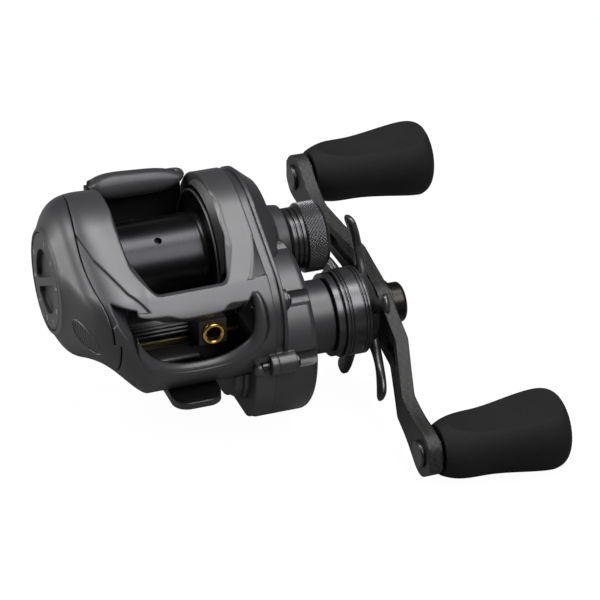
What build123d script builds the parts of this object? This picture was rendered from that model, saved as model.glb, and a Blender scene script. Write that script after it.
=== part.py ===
from build123d import *
import math
import os

# A low-profile baitcasting reel, left-hand retrieve.
# Millimetres. Origin: centre of the reel foot's underside. +X runs along the spool axis towards
# the handle, -Y is the front, where the line leaves, and +Z is up.

# ---------------------------------------------------------------- driving dimensions
# Spool and its place in the frame
SPOOL_AXIS_Z = 19.5
RIM_R = 15.0
DRUM_R = 10.0
DRUM_FILLET = 1.6
DRUM_LEFT, DRUM_RIGHT = -11.0, 9.6
FLANGE_T = 1.8
RIM_GAP = 0.5
SHAFT_R = 1.25
SHAFT_TIP_R = 1.0
SHAFT_LEFT, SHAFT_STEP, SHAFT_RIGHT = -21.5, 12.9, 34.6

# Fits
RUN = 0.06
SEAM = 0.3

# Gear train
MAIN_TEETH, PINION_TEETH, GEAR_MODULE = 75, 10, 0.428
DRIVE_ANGLE = 229.6
GUIDE_DRIVE_TEETH, GUIDE_TEETH, GUIDE_MODULE = 27, 15, 0.4
GUIDE_ANGLE = 128.4
TOOTH_SHARE = 0.38
TOOTH_HEIGHT = 0.85

# Frame
WALL = 3.0
NOSE_Y, NOSE_Z, NOSE_R = -17.0, 14.5, 14.5
NOSE_WALL = 2.2
NOSE_LEFT, PLATE_LEFT, PLATE_FLOOR, PLATE_RIGHT = -13.2, 12.4, 14.8, 17.0
PLATE_RIM_LEFT, PLATE_RIM_T, PLATE_LOW_Z = 15.4, 0.6, -8.4
ARCH_LEFT, ARCH_RIGHT = -11.4, 11.0
GEAR_ROOM, HOUSING_WALL = 1.2, 1.7
WINDOW_FRONT = -24.6
WINDOW_CORNER = 2.2
LIP_WIDTH, LIP_DEPTH = 1.4, 0.9
FACET_DROP = 0.5
BODY_LEVEL_LEFT = -9.8

# Palm side
PALM_FACE_X = -25.1
DIAL_R = 10.9
DIAL_GRIP_ANGLE, DIAL_GRIP_T = -28.2, 1.9
DIAL_T = 2.0
PALM_WALL = 2.0

# Handle side
COVER_FACE_X = 27.0
BAND_DROP, FLANGE_RIM_T = 0.8, 0.8
COVER_WALL = 1.6
TENSION_BOSS_R = 6.2
TENSION_CAP_R = 7.7
TENSION_CAP_LEFT, TENSION_KNURL_LEFT, TENSION_CAP_RIGHT = 29.6, 33.1, 38.8
CLUTCH_BOSS_R, CLUTCH_BOSS_END = 8.3, 35.0

# Drag and handle
DRIVE_SHAFT_R = 2.0
STAR_GAP, STAR_SLEEVE_T, STAR_HUB_T, STAR_FLOOR_T = 0.4, 7.6, 2.8, 3.4
STAR_SLEEVE_R, STAR_BORE_R = 9.9, 5.6
STAR_NUT_R, STAR_NUT_GAP = 4.4, 1.6
STAR_REACH, STAR_BLADES, STAR_FIRST_ANGLE = 22.0, 5, 76.0
HANDLE_ANGLE = 19.7
HANDLE_HALF = 42.0
ARM_GAP, ARM_DROP, ARM_T = 0.7, 4.0, 3.0
KNOB_GAP, KNOB_LENGTH = 0.9, 29.0
KNOB_NECK_R, KNOB_WAIST_R, KNOB_BIG_R = 5.6, 6.9, 9.1
POST_R = 1.9

# Thumb bar
CAM_TURN = 25.0

# Line guide
GUIDE_X = 4.3
EYE_Y, EYE_Z = -26.4, 15.3
EYE_R, EYE_BORE_R, EYE_T = 2.65, 1.6, 1.5
WORM_R, WORM_TUBE_R = 1.7, 2.6

# Foot
FOOT_LENGTH, FOOT_WIDTH, FOOT_T = 61.4, 11.0, 2.4

# ---------------------------------------------------------------- derived places
GEAR_CENTRE = GEAR_MODULE * (MAIN_TEETH + PINION_TEETH) / 2
GEAR_SPACE_R = GEAR_MODULE * (MAIN_TEETH / 2 + TOOTH_HEIGHT) + GEAR_ROOM
HOUSING_R = GEAR_SPACE_R + HOUSING_WALL
DRIVE_Y = GEAR_CENTRE * math.cos(math.radians(DRIVE_ANGLE))
DRIVE_Z = SPOOL_AXIS_Z + GEAR_CENTRE * math.sin(math.radians(DRIVE_ANGLE))
GUIDE_CENTRE = GUIDE_MODULE * (GUIDE_DRIVE_TEETH + GUIDE_TEETH) / 2
WORM_Y = DRIVE_Y + GUIDE_CENTRE * math.cos(math.radians(GUIDE_ANGLE))
WORM_Z = DRIVE_Z + GUIDE_CENTRE * math.sin(math.radians(GUIDE_ANGLE))
SPOOL, DRIVE, WORM = (0.0, SPOOL_AXIS_Z), (DRIVE_Y, DRIVE_Z), (WORM_Y, WORM_Z)
RING_BORE_R = RIM_R + RIM_GAP
RING_R = RING_BORE_R + WALL
HOOD_SLOPE = 90 + math.degrees(
    math.atan2(SPOOL_AXIS_Z - NOSE_Z, -NOSE_Y)
    - math.acos((RING_R - NOSE_R) / math.hypot(NOSE_Y, NOSE_Z - SPOOL_AXIS_Z))
)
RIM_LEFT, RIM_RIGHT = DRUM_LEFT - FLANGE_T, DRUM_RIGHT + FLANGE_T
PLATE_HOLE_R = 3.3
PIN_X, PIN_R = 13.9, 0.5
PINION_HUB_R, PINION_LEFT, PINION_NECK, PINION_FLANGE = 2.9, 13.2, 15.6, 17.0
PINION_TEETH_LEFT, PINION_TEETH_RIGHT, PINION_RIGHT = 17.3, 24.2, 27.6
PINION_JOURNAL_R, PINION_NECK_R = 1.6, 2.0
MAIN_LEFT, MAIN_WEB, MAIN_RIGHT = 19.8, 20.9, 22.4
DRAG_R, WASHER_T = 11.8, 0.65
GUIDE_GEAR_LEFT, GUIDE_GEAR_RIGHT = 17.2, 18.8
BEARING_R, BEARING_T = 4.5, 2.2
CLUTCH_SLEEVE_R, CLUTCH_BEARING_R = 4.0, 6.8
YOKE_T = 1.0
YOKE_POST_OUT, YOKE_POST_R = 7.0, 0.9
SPRING_WIRE_R = 0.18
CAM_R = 5.4
SHOULDER_X, BOSS_END = 19.6, 33.0
SCREW_ANGLES, SCREW_RING_R = (88.0, 134.0, 174.0), HOUSING_R + 0.3
SCREW_EAR_R, SCREW_POCKET_R, SCREW_HEAD_R, SCREW_R = 2.3, 1.8, 1.5, 0.7
SCREW_END, SCREW_SEAT, SCREW_HEAD_T = 13.4, 21.2, 0.9
BADGE, BADGE_ALONG, BADGE_FACING = (-22.2, -21.3, 16.6), (0.39, -0.81, -0.43), (-0.91, -0.39, -0.10)
BADGE_SIZE, BADGE_DEPTH = (5.0, 2.1), 0.35
LINE_HOLE_X, LINE_HOLE_ANGLE = -1.0, 123.0
PINION_BEARING_X, SPOOL_BEARING_X = 26.2, 30.2
SPOOL_WEB, LINE_HOLE_R = 2.0, 0.8
ROTOR_X, ROTOR_R = -16.4, 11.5
PALM_HUB_R, CARRIER_X, CARRIER_R = 5.4, -20.6, 11.6
MAGNETS, MAGNET_R, MAGNET_RING_R = 8, 1.4, 9.4
RATCHET_LEFT, RATCHET_LUGS = 15.4, 8
CLUTCH_SLEEVE_LEFT, CLUTCH_SLEEVE_RIGHT = 25.0, 35.2
STAR_LEFT = CLUTCH_BOSS_END + STAR_GAP
STAR_SLEEVE_END = STAR_LEFT + STAR_SLEEVE_T
STAR_OUTER = STAR_SLEEVE_END + STAR_HUB_T
STAR_NUT_LEFT, STAR_NUT_RIGHT = STAR_LEFT + 1.2, STAR_OUTER - STAR_FLOOR_T - STAR_NUT_GAP
ARM_HUB_X = STAR_OUTER + ARM_GAP
ARM_END_X = ARM_HUB_X - ARM_DROP
ARM_FACE_X = ARM_HUB_X + ARM_T
NUT_END, DRIVE_SHAFT_END = ARM_FACE_X + 4.2, ARM_FACE_X + 3.1
KNOB_START = ARM_END_X + ARM_T + KNOB_GAP
KNOB_END = KNOB_START + KNOB_LENGTH
POST_END, BUSH_R = KNOB_END - 5.8, 3.4
WORM_JOURNAL_R, WORM_SLOT, WORM_SLOT_TURN = 1.1, 2.6, 35.0
BAR, BAR_R = (-15.2, 8.0), 0.8
THUMB_Z, THUMB_FRONT, THUMB_DEPTH, THUMB_BACK_R = 32.3, 10.6, 8.0, 21.2




def across(x):
    """The plane across the spool axis at x: local x runs along Y and local y along Z."""
    return Plane.YZ.offset(x)


def polar(centre, radius, degrees):
    """A point (y, z) at an angle from +Y towards +Z round a centre."""
    angle = math.radians(degrees)
    return (centre[0] + radius * math.cos(angle), centre[1] + radius * math.sin(angle))


def rod(x0, x1, radius, centre=SPOOL, bore=0.0):
    """A round bar along X, or a tube when it has a bore."""
    section = Circle(radius) - Circle(bore) if bore else Circle(radius)
    return extrude(across(x0) * Pos(*centre) * section, x1 - x0)


def turned(profile, centre=SPOOL):
    """A turned piece whose axis lies along X; the profile is a closed list of (x, radius)."""
    face = make_face(Polyline(*profile, close=True))
    return Pos(0, *centre) * revolve(face, Axis.X)


def slab(x, y, z):
    """A box from its lower and upper limits on each axis."""
    size = (x[1] - x[0], y[1] - y[0], z[1] - z[0])
    return Pos(x[0], y[0], z[0]) * Box(*size, align=(Align.MIN,) * 3)


def ovoid(ring_r, nose_y, nose_z, nose_r):
    """Side outline of the body: a circle round the spool axis and a nose circle in front of it,
    joined by their two outer tangents."""
    nose = (nose_y, nose_z)
    distance = math.hypot(nose_y, nose_z - SPOOL_AXIS_Z)
    heading = math.degrees(math.atan2(nose_z - SPOOL_AXIS_Z, nose_y)) % 360
    lean = math.degrees(math.acos((ring_r - nose_r) / distance))
    top, low = heading - lean, heading + lean
    back = ThreePointArc(
        polar(SPOOL, ring_r, low), polar(SPOOL, ring_r, heading + 180), polar(SPOOL, ring_r, top)
    )
    front = ThreePointArc(
        polar(nose, nose_r, top), polar(nose, nose_r, heading), polar(nose, nose_r, low)
    )
    upper = Line(polar(SPOOL, ring_r, top), polar(nose, nose_r, top))
    lower = Line(polar(nose, nose_r, low), polar(SPOOL, ring_r, low))
    return make_face([back, upper, front, lower])


def toothed(teeth, module, centre, x0, x1, first_angle):
    """A spur gear with straight flanks and a tooth centred on first_angle."""
    pitch_r = module * teeth / 2
    tip_r, root_r = pitch_r + TOOTH_HEIGHT * module, pitch_r - 1.15 * module
    half = TOOTH_SHARE * math.pi * module / 2
    half_tip = half - TOOTH_HEIGHT * module * math.tan(math.radians(20))
    points = []
    for tooth in range(teeth):
        middle = first_angle + 360 * tooth / teeth
        for radius, side in ((root_r, -half), (tip_r, -half_tip), (tip_r, half_tip), (root_r, half)):
            points.append(polar(centre, radius, middle + math.degrees(side / radius)))
    return extrude(across(x0) * make_face(Polyline(*points, close=True)), x1 - x0)


def ball_bearing(x0, x1, centre, bore, outer):
    """A shielded ball bearing as one ring, with the grooves between its races and shield."""
    ring = rod(x0, x1, outer, centre, bore)
    middle = (bore + outer) / 2
    groove = 0.15 * (outer - bore)
    for start, end in ((x0, x0 + 0.25), (x1 - 0.25, x1)):
        ring -= rod(start, end, middle + groove, centre, middle - groove)
    return ring


def along_handle(x=0.0):
    """Plane of the handle arm: local x runs along the arm, local z along the spool axis."""
    direction = polar((0, 0), 1, HANDLE_ANGLE)
    return Plane(origin=(x, DRIVE_Y, DRIVE_Z), x_dir=(0, *direction), z_dir=(1, 0, 0))


# ---------------------------------------------------------------- body shells
# Sections of the outer body, from the flat middle out to the palm face: x, then the ovoid.
BODY_SECTIONS = (
    (BODY_LEVEL_LEFT, RING_R, NOSE_Y, NOSE_Z, NOSE_R),
    (-17.0, RING_R - 0.3, NOSE_Y - 2.5, NOSE_Z + 3.3, NOSE_R - 4.5),
    (-20.5, RING_R - 1.2, NOSE_Y - 0.5, NOSE_Z + 4.6, NOSE_R - 6.1),
    (-23.3, RING_R - 4.1, NOSE_Y + 7.0, NOSE_Z + 4.8, NOSE_R - 5.5),
    (PALM_FACE_X, DIAL_R + 0.7, NOSE_Y + 14.5, NOSE_Z + 4.9, DIAL_R - 0.6),
)
# The parting line between palm cover and frame, in plan: (x, y) from the rear to the nose.
SEAM_LINE = ((-18.6, 26), (-18.9, 4), (-20.3, -8), (-20.6, -15), (-19.2, -24), (-16.8, -34))
# Below this height the parting line in front runs straight down, at this x.
SEAM_LOW_X, SEAM_LOW_Z = -16.9, 17.9
# The hood's raised band, in plan: its left edge from the ring to the rim, and its right edge.
BAND_LEFT = ((-20.6, -7.0), (-18.3, -15.1), (-16.2, -19.0), (-13.5, -24.2), (-9.8, -28.0))
BAND_RIGHT = ((PLATE_RIGHT + 0.3, -15.5), (15.0, -21.8), (13.2, -25.1), (11.2, -27.6))
# The line opening in front, as (x, z), clockwise from its upper left corner.
OPENING = (
    (-13.6, 22.4), (-11.2, 22.9), (-6.8, 20.7), (0.0, 19.9), (6.5, 20.2), (10.6, 21.9), (13.2, 24.2),
    (13.5, 20.0), (12.7, 14.9), (9.6, 11.9), (4.5, 9.9), (-2.5, 9.8), (-7.5, 11.2), (-11.2, 13.8),
    (-13.0, 17.4),
)
# The cheek left of the opening: two points on its outer edge, one on its inner edge, and the
# front view, as (x, z), of what is cut away in front of it.
CHEEK = ((-13.2, -31.0, 16.2), (-18.1, -25.0, 25.6), (-12.9, -23.5, 21.0))
CHEEK_FRONT = ((-19.4, 26.1), (-12.6, 24.3), (-12.6, 13.0), (-19.4, 18.0))


def outer_body(inset=0.0):
    """Frame and palm cover in one: level between the plates, drawn in to the palm face."""
    sections = [(x, ring_r - inset, y, z, nose_r - inset) for x, ring_r, y, z, nose_r in BODY_SECTIONS]
    left = loft([across(x) * ovoid(*size) for x, *size in sections])
    first_x, *size = sections[0]
    return left + extrude(across(first_x) * ovoid(*size), PLATE_RIGHT - first_x)


def palm_side(shift):
    """Everything on the palm side of the parting line, moved by shift along X."""
    seam = Spline(*[(x + shift, y) for x, y in SEAM_LINE])
    far = [SEAM_LINE[-1], (-60, -34), (-60, 26), SEAM_LINE[0]]
    far = [(far[0][0] + shift, far[0][1]), far[1], far[2], (far[3][0] + shift, far[3][1])]
    side = extrude(Plane.XY.offset(-30) * make_face([seam, Polyline(*far)]), 90)
    return side + slab((-60, SEAM_LOW_X + shift), (-40, -22), (-30, SEAM_LOW_Z))


def spool_window(stretch=1.0, origin=0.0):
    """Plan of the opening over the spool, y stretched from an origin: open to the rear."""
    def along(y):
        return (y - origin) * stretch

    rear, shoulder = 60.0, -15.5
    plan = make_face(Polyline(
        (ARCH_LEFT, along(rear)), (ARCH_LEFT, along(shoulder)),
        (ARCH_LEFT + 3.4, along(WINDOW_FRONT)), (ARCH_RIGHT - 2.7, along(WINDOW_FRONT + 0.2)),
        (ARCH_RIGHT, along(shoulder + 1.0)), (ARCH_RIGHT, along(rear)), close=True,
    ))
    sides = [v for v in plan.vertices() if along(WINDOW_FRONT + 3) < v.Y < along(0)]
    plan = fillet(sides, 6.0)
    front = [v for v in plan.vertices() if v.Y < along(WINDOW_FRONT + 0.5)]
    return fillet(front, WINDOW_CORNER)


def bevelled(plane, outline, width, depth):
    """A cutter that flares through an outline in a plane, by width for each depth it rises."""
    sections = []
    for rise in (-0.6, 4.0):
        sections.append(plane.offset(rise) * offset(outline, rise * width / depth))
    return loft(sections)


def cut_spool_window(frame):
    """Cut the opening over the spool and bevel its edge where the hood is flat."""
    frame -= extrude(Plane.XY.offset(SPOOL_AXIS_Z) * spool_window(), 60)
    frame -= slab((ARCH_LEFT, ARCH_RIGHT), (-12, 60), (3.2, SPOOL_AXIS_Z + 1))
    slope = math.radians(HOOD_SLOPE)
    y, z = polar(SPOOL, RING_R - LIP_DEPTH, 90 + HOOD_SLOPE)
    deck = Plane(origin=(0, y, z), x_dir=(1, 0, 0), z_dir=(0, -math.sin(slope), math.cos(slope)))
    outline = spool_window(1 / math.cos(slope), y)
    return frame - bevelled(deck, outline, LIP_WIDTH, LIP_DEPTH)


def cut_line_opening(frame):
    """Cut the line opening in front, bevel its edge and slope the cheek to its left."""
    outline = make_face(Spline(*OPENING, periodic=True))
    frame -= extrude(Plane.XZ.offset(19) * outline, 20)
    tilt = math.radians(10)
    seat = Plane(
        origin=(0, NOSE_Y - NOSE_R + 2.9, NOSE_Z), x_dir=(1, 0, 0),
        z_dir=(0, -math.cos(tilt), math.sin(tilt)))
    frame -= bevelled(seat, Pos(0, -NOSE_Z) * outline, 0.75, 1.0)
    low, high, inner = (Vector(*point) for point in CHEEK)
    facing = (high - inner).cross(low - inner)
    cheek = Plane(origin=low, x_dir=high - low, z_dir=facing if facing.X > 0 else facing * -1)
    cutter = extrude(cheek * Rectangle(60, 60), 12)
    return frame - (cutter & extrude(Plane.XZ.offset(19) * make_face(Polyline(*CHEEK_FRONT, close=True)), 20))


def screw_places():
    """Centres of the three cover screws, round the drive axis."""
    return [polar(DRIVE, SCREW_RING_R, angle) for angle in SCREW_ANGLES]


def add_plate(frame):
    """Add the gear-side plate: a full rim against the cover, cut level below behind it."""
    plate = rod(PLATE_LEFT, PLATE_RIGHT, HOUSING_R, DRIVE)
    frame += fillet(plate.edges().filter_by(GeomType.CIRCLE).sort_by(Axis.X)[0], 0.8)
    frame -= slab((PLATE_LEFT - 1, PLATE_RIM_LEFT), (-50, 50), (-30, PLATE_LOW_Z))
    for place in screw_places():
        frame += rod(PLATE_RIM_LEFT, PLATE_RIGHT, SCREW_EAR_R, place)
    return frame


def make_frame(body):
    """The one-piece frame: spool ring, gear-side plate, hood over the line guide and chin."""
    frame = body - palm_side(SEAM / 2)
    # facets beside the hood's raised band
    left = make_face(Polyline(*BAND_LEFT, (-40, BAND_LEFT[-1][1]), (-40, BAND_LEFT[0][1]), close=True))
    right = make_face(Polyline(*BAND_RIGHT, (40, BAND_RIGHT[-1][1]), (40, BAND_RIGHT[0][1]), close=True))
    facets = extrude(Plane.XY.offset(SPOOL_AXIS_Z) * left, 40)
    facets += extrude(Plane.XY.offset(CHEEK[1][2] + 0.8) * right, 40)
    frame -= facets - outer_body(FACET_DROP)
    frame = add_plate(frame)
    # spool bore and the hollow nose
    frame -= rod(PALM_FACE_X, PLATE_LEFT, RING_BORE_R)
    nose = ovoid(RING_BORE_R, NOSE_Y, NOSE_Z, NOSE_R - NOSE_WALL)
    frame -= extrude(across(NOSE_LEFT) * nose, PLATE_LEFT - NOSE_LEFT)
    frame = cut_line_opening(cut_spool_window(frame))
    # gear space in the plate, and its holes
    frame -= rod(PLATE_FLOOR, PLATE_RIGHT, GEAR_SPACE_R - 4.6, DRIVE)
    frame -= rod(PLATE_RIGHT - PLATE_RIM_T, PLATE_RIGHT, GEAR_SPACE_R, DRIVE)
    frame -= rod(PLATE_FLOOR, PLATE_RIGHT, RING_BORE_R)
    frame -= rod(PLATE_LEFT, PLATE_FLOOR, PLATE_HOLE_R)
    frame -= rod(PLATE_LEFT + 0.2, PLATE_FLOOR, 4.0, DRIVE)
    frame -= rod(PLATE_LEFT, PLATE_FLOOR, 2.4, WORM)
    frame -= rod(NOSE_LEFT - 1.6, NOSE_LEFT, 2.4, WORM)
    for place in screw_places():
        frame -= rod(SCREW_END, PLATE_RIGHT, SCREW_R + RUN, place)
    # seat of the foot under the floor
    frame -= slab((-FOOT_WIDTH / 2, FOOT_WIDTH / 2), (-FOOT_LENGTH / 2, FOOT_LENGTH / 2), (-5, FOOT_T))
    # cross pillar behind the spool
    frame += Pos(0, 14.6, 5.6) * slab((ARCH_LEFT - 2, PLATE_LEFT), (-2.2, 2.2), (-1.6, 1.6))
    return frame


def make_palm_cover(body):
    """Palm-side cover: a shell round the brake with a seat for the dial and the shaft bearing."""
    cover = body & palm_side(-SEAM / 2)
    inner = ((-14, 0), (-14, RING_R - PALM_WALL - 0.4), (-20, RING_R - PALM_WALL - 1.2),
             (-22.0, RING_R - 6.5), (-22.2, 0))
    cover -= turned(inner)
    cover -= rod(PALM_FACE_X - 1, PALM_FACE_X + DIAL_T, DIAL_R + RUN)
    cover += rod(-22.3, -16.6, PALM_HUB_R, SPOOL)
    cover -= rod(-21.9, -16.6, BEARING_R - 0.5)
    # recessed oval badge place, bare
    badge = Plane(origin=BADGE, x_dir=BADGE_ALONG, z_dir=BADGE_FACING)
    recess = extrude(badge * Ellipse(*BADGE_SIZE), 3, both=True)
    return cover - (recess - outer_body(BADGE_DEPTH))


def make_gear_cover():
    """The handle-side cover: gear housing, shoulder round the spool axis and two bosses."""
    housing = rod(PLATE_RIGHT, COVER_FACE_X, HOUSING_R, DRIVE)
    cover = fillet(housing.edges().filter_by(GeomType.CIRCLE).sort_by(Axis.X)[-1], 1.6)
    band = ovoid(RING_R - BAND_DROP, NOSE_Y, NOSE_Z, NOSE_R - BAND_DROP)
    cover += extrude(across(PLATE_RIGHT) * band, SHOULDER_X - PLATE_RIGHT)
    flange = SHOULDER_X - FLANGE_RIM_T
    cover += extrude(across(flange) * ovoid(RING_R, NOSE_Y, NOSE_Z, NOSE_R), FLANGE_RIM_T)
    cover += turned((
        (flange, 0), (flange, RING_R), (SHOULDER_X, RING_R), (SHOULDER_X + 3.7, 15.4),
        (SHOULDER_X + 5.6, 10.5), (SHOULDER_X + 6.6, 8.6), (TENSION_CAP_LEFT - 0.6, 8.2),
        (TENSION_CAP_LEFT - 0.6, TENSION_BOSS_R), (BOSS_END, TENSION_BOSS_R), (BOSS_END, 0),
    ))
    cover += rod(COVER_FACE_X - 1, CLUTCH_BOSS_END, CLUTCH_BOSS_R, DRIVE)
    # inside: gear space and pinion space, with walls left standing round the screws
    space = rod(PLATE_RIGHT, COVER_FACE_X - COVER_WALL, GEAR_SPACE_R, DRIVE)
    space += rod(PLATE_RIGHT, SHOULDER_X + 1.0, RING_BORE_R - 1.0)
    for place in screw_places():
        cover += rod(PLATE_RIGHT, SCREW_SEAT, SCREW_EAR_R, place)
        space -= rod(PLATE_RIGHT, COVER_FACE_X, SCREW_EAR_R + 0.2, place)
    cover -= space
    for place in screw_places():
        cover -= rod(SCREW_SEAT, COVER_FACE_X + 1, SCREW_POCKET_R, place)
        cover -= rod(PLATE_RIGHT, SCREW_SEAT, SCREW_R + RUN, place)
    # bearing seats and the shafts' ways through
    cover -= rod(PLATE_RIGHT, SHOULDER_X + 4.4, 9.6)
    cover -= rod(SHOULDER_X, BOSS_END, BEARING_R)
    cover -= rod(COVER_FACE_X - COVER_WALL, CLUTCH_BOSS_END, CLUTCH_BEARING_R, DRIVE)
    cover -= rod(GUIDE_GEAR_LEFT - 0.2, GUIDE_GEAR_RIGHT + 0.3, 3.8, WORM)
    # ring between the two spool-axis bearings
    cover += rod(PINION_BEARING_X + BEARING_T, SPOOL_BEARING_X, BEARING_R, SPOOL, PINION_JOURNAL_R + 0.3)
    return cover


# ---------------------------------------------------------------- spool and its shaft
def make_spool():
    """Spool with a level drum between two flanges, hollow behind each flange round a web."""
    section = Polyline(
        (RIM_LEFT, DRUM_R - 1.3), (RIM_LEFT, RIM_R), (DRUM_LEFT, RIM_R), (DRUM_LEFT, DRUM_R),
        (DRUM_RIGHT, DRUM_R), (DRUM_RIGHT, RIM_R), (RIM_RIGHT, RIM_R), (RIM_RIGHT, DRUM_R - 1.3),
        (SPOOL_WEB, DRUM_R - 1.3), (SPOOL_WEB, SHAFT_R), (-SPOOL_WEB, SHAFT_R),
        (-SPOOL_WEB, DRUM_R - 1.3), close=True,
    )
    section = make_face(section)
    foot = [v for v in section.vertices() if abs(v.Y - DRUM_R) < 0.01]
    section = fillet(foot, DRUM_FILLET)
    rims = [v for v in section.vertices() if abs(v.Y - RIM_R) < 0.01]
    section = fillet(rims, FLANGE_T * 0.4)
    spool = Pos(0, *SPOOL) * revolve(section, Axis.X)
    hole = Pos(0, 0, DRUM_R) * Cylinder(LINE_HOLE_R, 2.4)
    return spool - Pos(LINE_HOLE_X, *SPOOL) * Rot(LINE_HOLE_ANGLE - 90, 0, 0) * hole


def make_spool_shaft():
    return turned((
        (SHAFT_LEFT, 0), (SHAFT_LEFT, SHAFT_R), (SHAFT_STEP, SHAFT_R), (SHAFT_STEP, SHAFT_TIP_R),
        (SHAFT_RIGHT - 0.5, SHAFT_TIP_R), (SHAFT_RIGHT, SHAFT_TIP_R - 0.5), (SHAFT_RIGHT, 0),
    )) - Pos(PIN_X, 0, SPOOL_AXIS_Z) * Cylinder(PIN_R, 6)


def make_spool_pin():
    return Pos(PIN_X, 0, SPOOL_AXIS_Z) * Cylinder(PIN_R, 2 * PINION_HUB_R - 0.8)


def make_brake_rotor():
    """Thin disc on the spool shaft that the brake magnets act on, with its hub."""
    return turned((
        (ROTOR_X, SHAFT_R), (ROTOR_X, ROTOR_R), (ROTOR_X + 0.6, ROTOR_R), (ROTOR_X + 0.6, 3.0),
        (-SPOOL_WEB, 3.0), (-SPOOL_WEB, SHAFT_R),
    ))


# ---------------------------------------------------------------- brake
def make_brake_dial():
    """Dial with a raised rim and a grip bar between the two lobes of its recess."""
    left, right = PALM_FACE_X, PALM_FACE_X + DIAL_T - RUN
    dial = rod(left, right, DIAL_R - RUN)
    dial = fillet(dial.edges().sort_by(Axis.X)[0], 0.5)
    recess = Rectangle(2 * DIAL_R, 2 * DIAL_R) & Circle(DIAL_R * 0.66)
    recess -= Rectangle(2 * DIAL_R, DIAL_GRIP_T)
    recess = fillet(recess.vertices(), 0.9)
    return dial - extrude(across(left) * Pos(*SPOOL) * Rot(0, 0, DIAL_GRIP_ANGLE) * recess, 1.1)


def make_magnet_carrier():
    """Ring that carries the magnets and slides on the palm cover's hub."""
    ring = rod(CARRIER_X, CARRIER_X + 1.1, CARRIER_R, SPOOL, PALM_HUB_R + RUN)
    return ring + rod(CARRIER_X, CARRIER_X + 2.2, PALM_HUB_R + 0.9, SPOOL, PALM_HUB_R + RUN)


def make_magnets():
    start = CARRIER_X + 1.1
    places = [polar(SPOOL, MAGNET_RING_R, 360 * k / MAGNETS) for k in range(MAGNETS)]
    return Part() + [rod(start, start + 1.2, MAGNET_R, place) for place in places]


# ---------------------------------------------------------------- clutch and pinion
def make_pinion():
    """Pinion: slotted hub that takes the spool pin, neck for the yoke, teeth and journal."""
    mesh_angle = DRIVE_ANGLE + 180 / PINION_TEETH
    pinion = rod(PINION_LEFT, PINION_NECK, PINION_HUB_R)
    pinion += rod(PINION_NECK, PINION_FLANGE, PINION_NECK_R)
    pinion += rod(PINION_FLANGE, PINION_TEETH_LEFT, PINION_HUB_R - 0.3)
    pinion += toothed(
        PINION_TEETH, GEAR_MODULE, SPOOL, PINION_TEETH_LEFT, PINION_TEETH_RIGHT, mesh_angle
    )
    pinion += rod(PINION_TEETH_RIGHT, PINION_RIGHT, PINION_JOURNAL_R)
    pinion -= rod(PINION_LEFT, PINION_RIGHT, SHAFT_TIP_R + RUN)
    slot = slab((PINION_LEFT, PIN_X + PIN_R + 0.1), (-PIN_R - 0.1, PIN_R + 0.1), (-4, 4))
    return pinion - Pos(0, 0, SPOOL_AXIS_Z) * slot


def yoke_posts():
    """Centres of the two yoke posts, square to the line between the spool and drive axes."""
    return [polar(SPOOL, YOKE_POST_OUT, DRIVE_ANGLE + turn) for turn in (90, -90)]


def make_yoke():
    """Fork that sits in the pinion's neck and slides on the two posts."""
    left = PINION_NECK + 0.2
    plane = across(left) * Pos(*SPOOL) * Rot(0, 0, DRIVE_ANGLE + 90)
    plan = RectangleRounded(2 * YOKE_POST_OUT + 4.2, 5.2, 2.0)
    plan -= Circle(PINION_NECK_R + RUN)
    plan -= Pos(0, -3) * Rectangle(2 * (PINION_NECK_R + RUN), 6)
    for side in (-1, 1):
        plan -= Pos(side * YOKE_POST_OUT, 0) * Circle(YOKE_POST_R + RUN)
    return extrude(plane * plan, YOKE_T)


def make_yoke_posts():
    """Two headed posts that stand on the gear-side plate."""
    end = SHOULDER_X + 2.6
    posts = []
    for place in yoke_posts():
        posts.append(rod(PLATE_FLOOR, end, YOKE_POST_R, place) + rod(end, end + 0.6, 1.5, place))
    return Part() + posts


def make_yoke_springs():
    """Coil springs on the posts, from the yoke to the post heads."""
    start, end = PINION_NECK + 0.2 + YOKE_T, SHOULDER_X + 2.6
    length, turns = end - start - 2 * SPRING_WIRE_R, 4
    springs = []
    for place in yoke_posts():
        path = Helix(length / turns, length, YOKE_POST_R + 0.35)
        wire = sweep(Plane(path @ 0, z_dir=path % 0) * Circle(SPRING_WIRE_R), path)
        springs.append(Pos(start + SPRING_WIRE_R, *place) * Rot(0, 90, 0) * wire)
    return Part() + springs


def make_clutch_cam():
    """Ring round the spool axis with two ramps and an arm that the thumb bar turns."""
    left, right = PLATE_FLOOR + 0.1, PINION_NECK - 0.05
    cam = rod(left, right, CAM_R, SPOOL, PLATE_HOLE_R + 0.2)
    arm = Pos(0, *SPOOL) * Rot(CAM_TURN, 0, 0) * slab((left, right), (CAM_R - 0.6, 12.6), (-1.3, 1.3))
    return cam + arm


# ---------------------------------------------------------------- drive train
def flatted(radius):
    """Round section with two flats, as on the drive shaft and in what it turns."""
    return Circle(radius) & Rectangle(1.5 * radius, 3 * radius)


def make_drive_shaft():
    """Main shaft: bearing journal, shoulder for the gears, and flats where the arm sits."""
    shaft = rod(PLATE_LEFT + 0.4, ARM_HUB_X, DRIVE_SHAFT_R, DRIVE)
    shaft += rod(GUIDE_GEAR_LEFT - 0.6, MAIN_LEFT, DRIVE_SHAFT_R + 1.0, DRIVE)
    return shaft + extrude(along_handle(ARM_HUB_X) * flatted(DRIVE_SHAFT_R), DRIVE_SHAFT_END - ARM_HUB_X)


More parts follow.
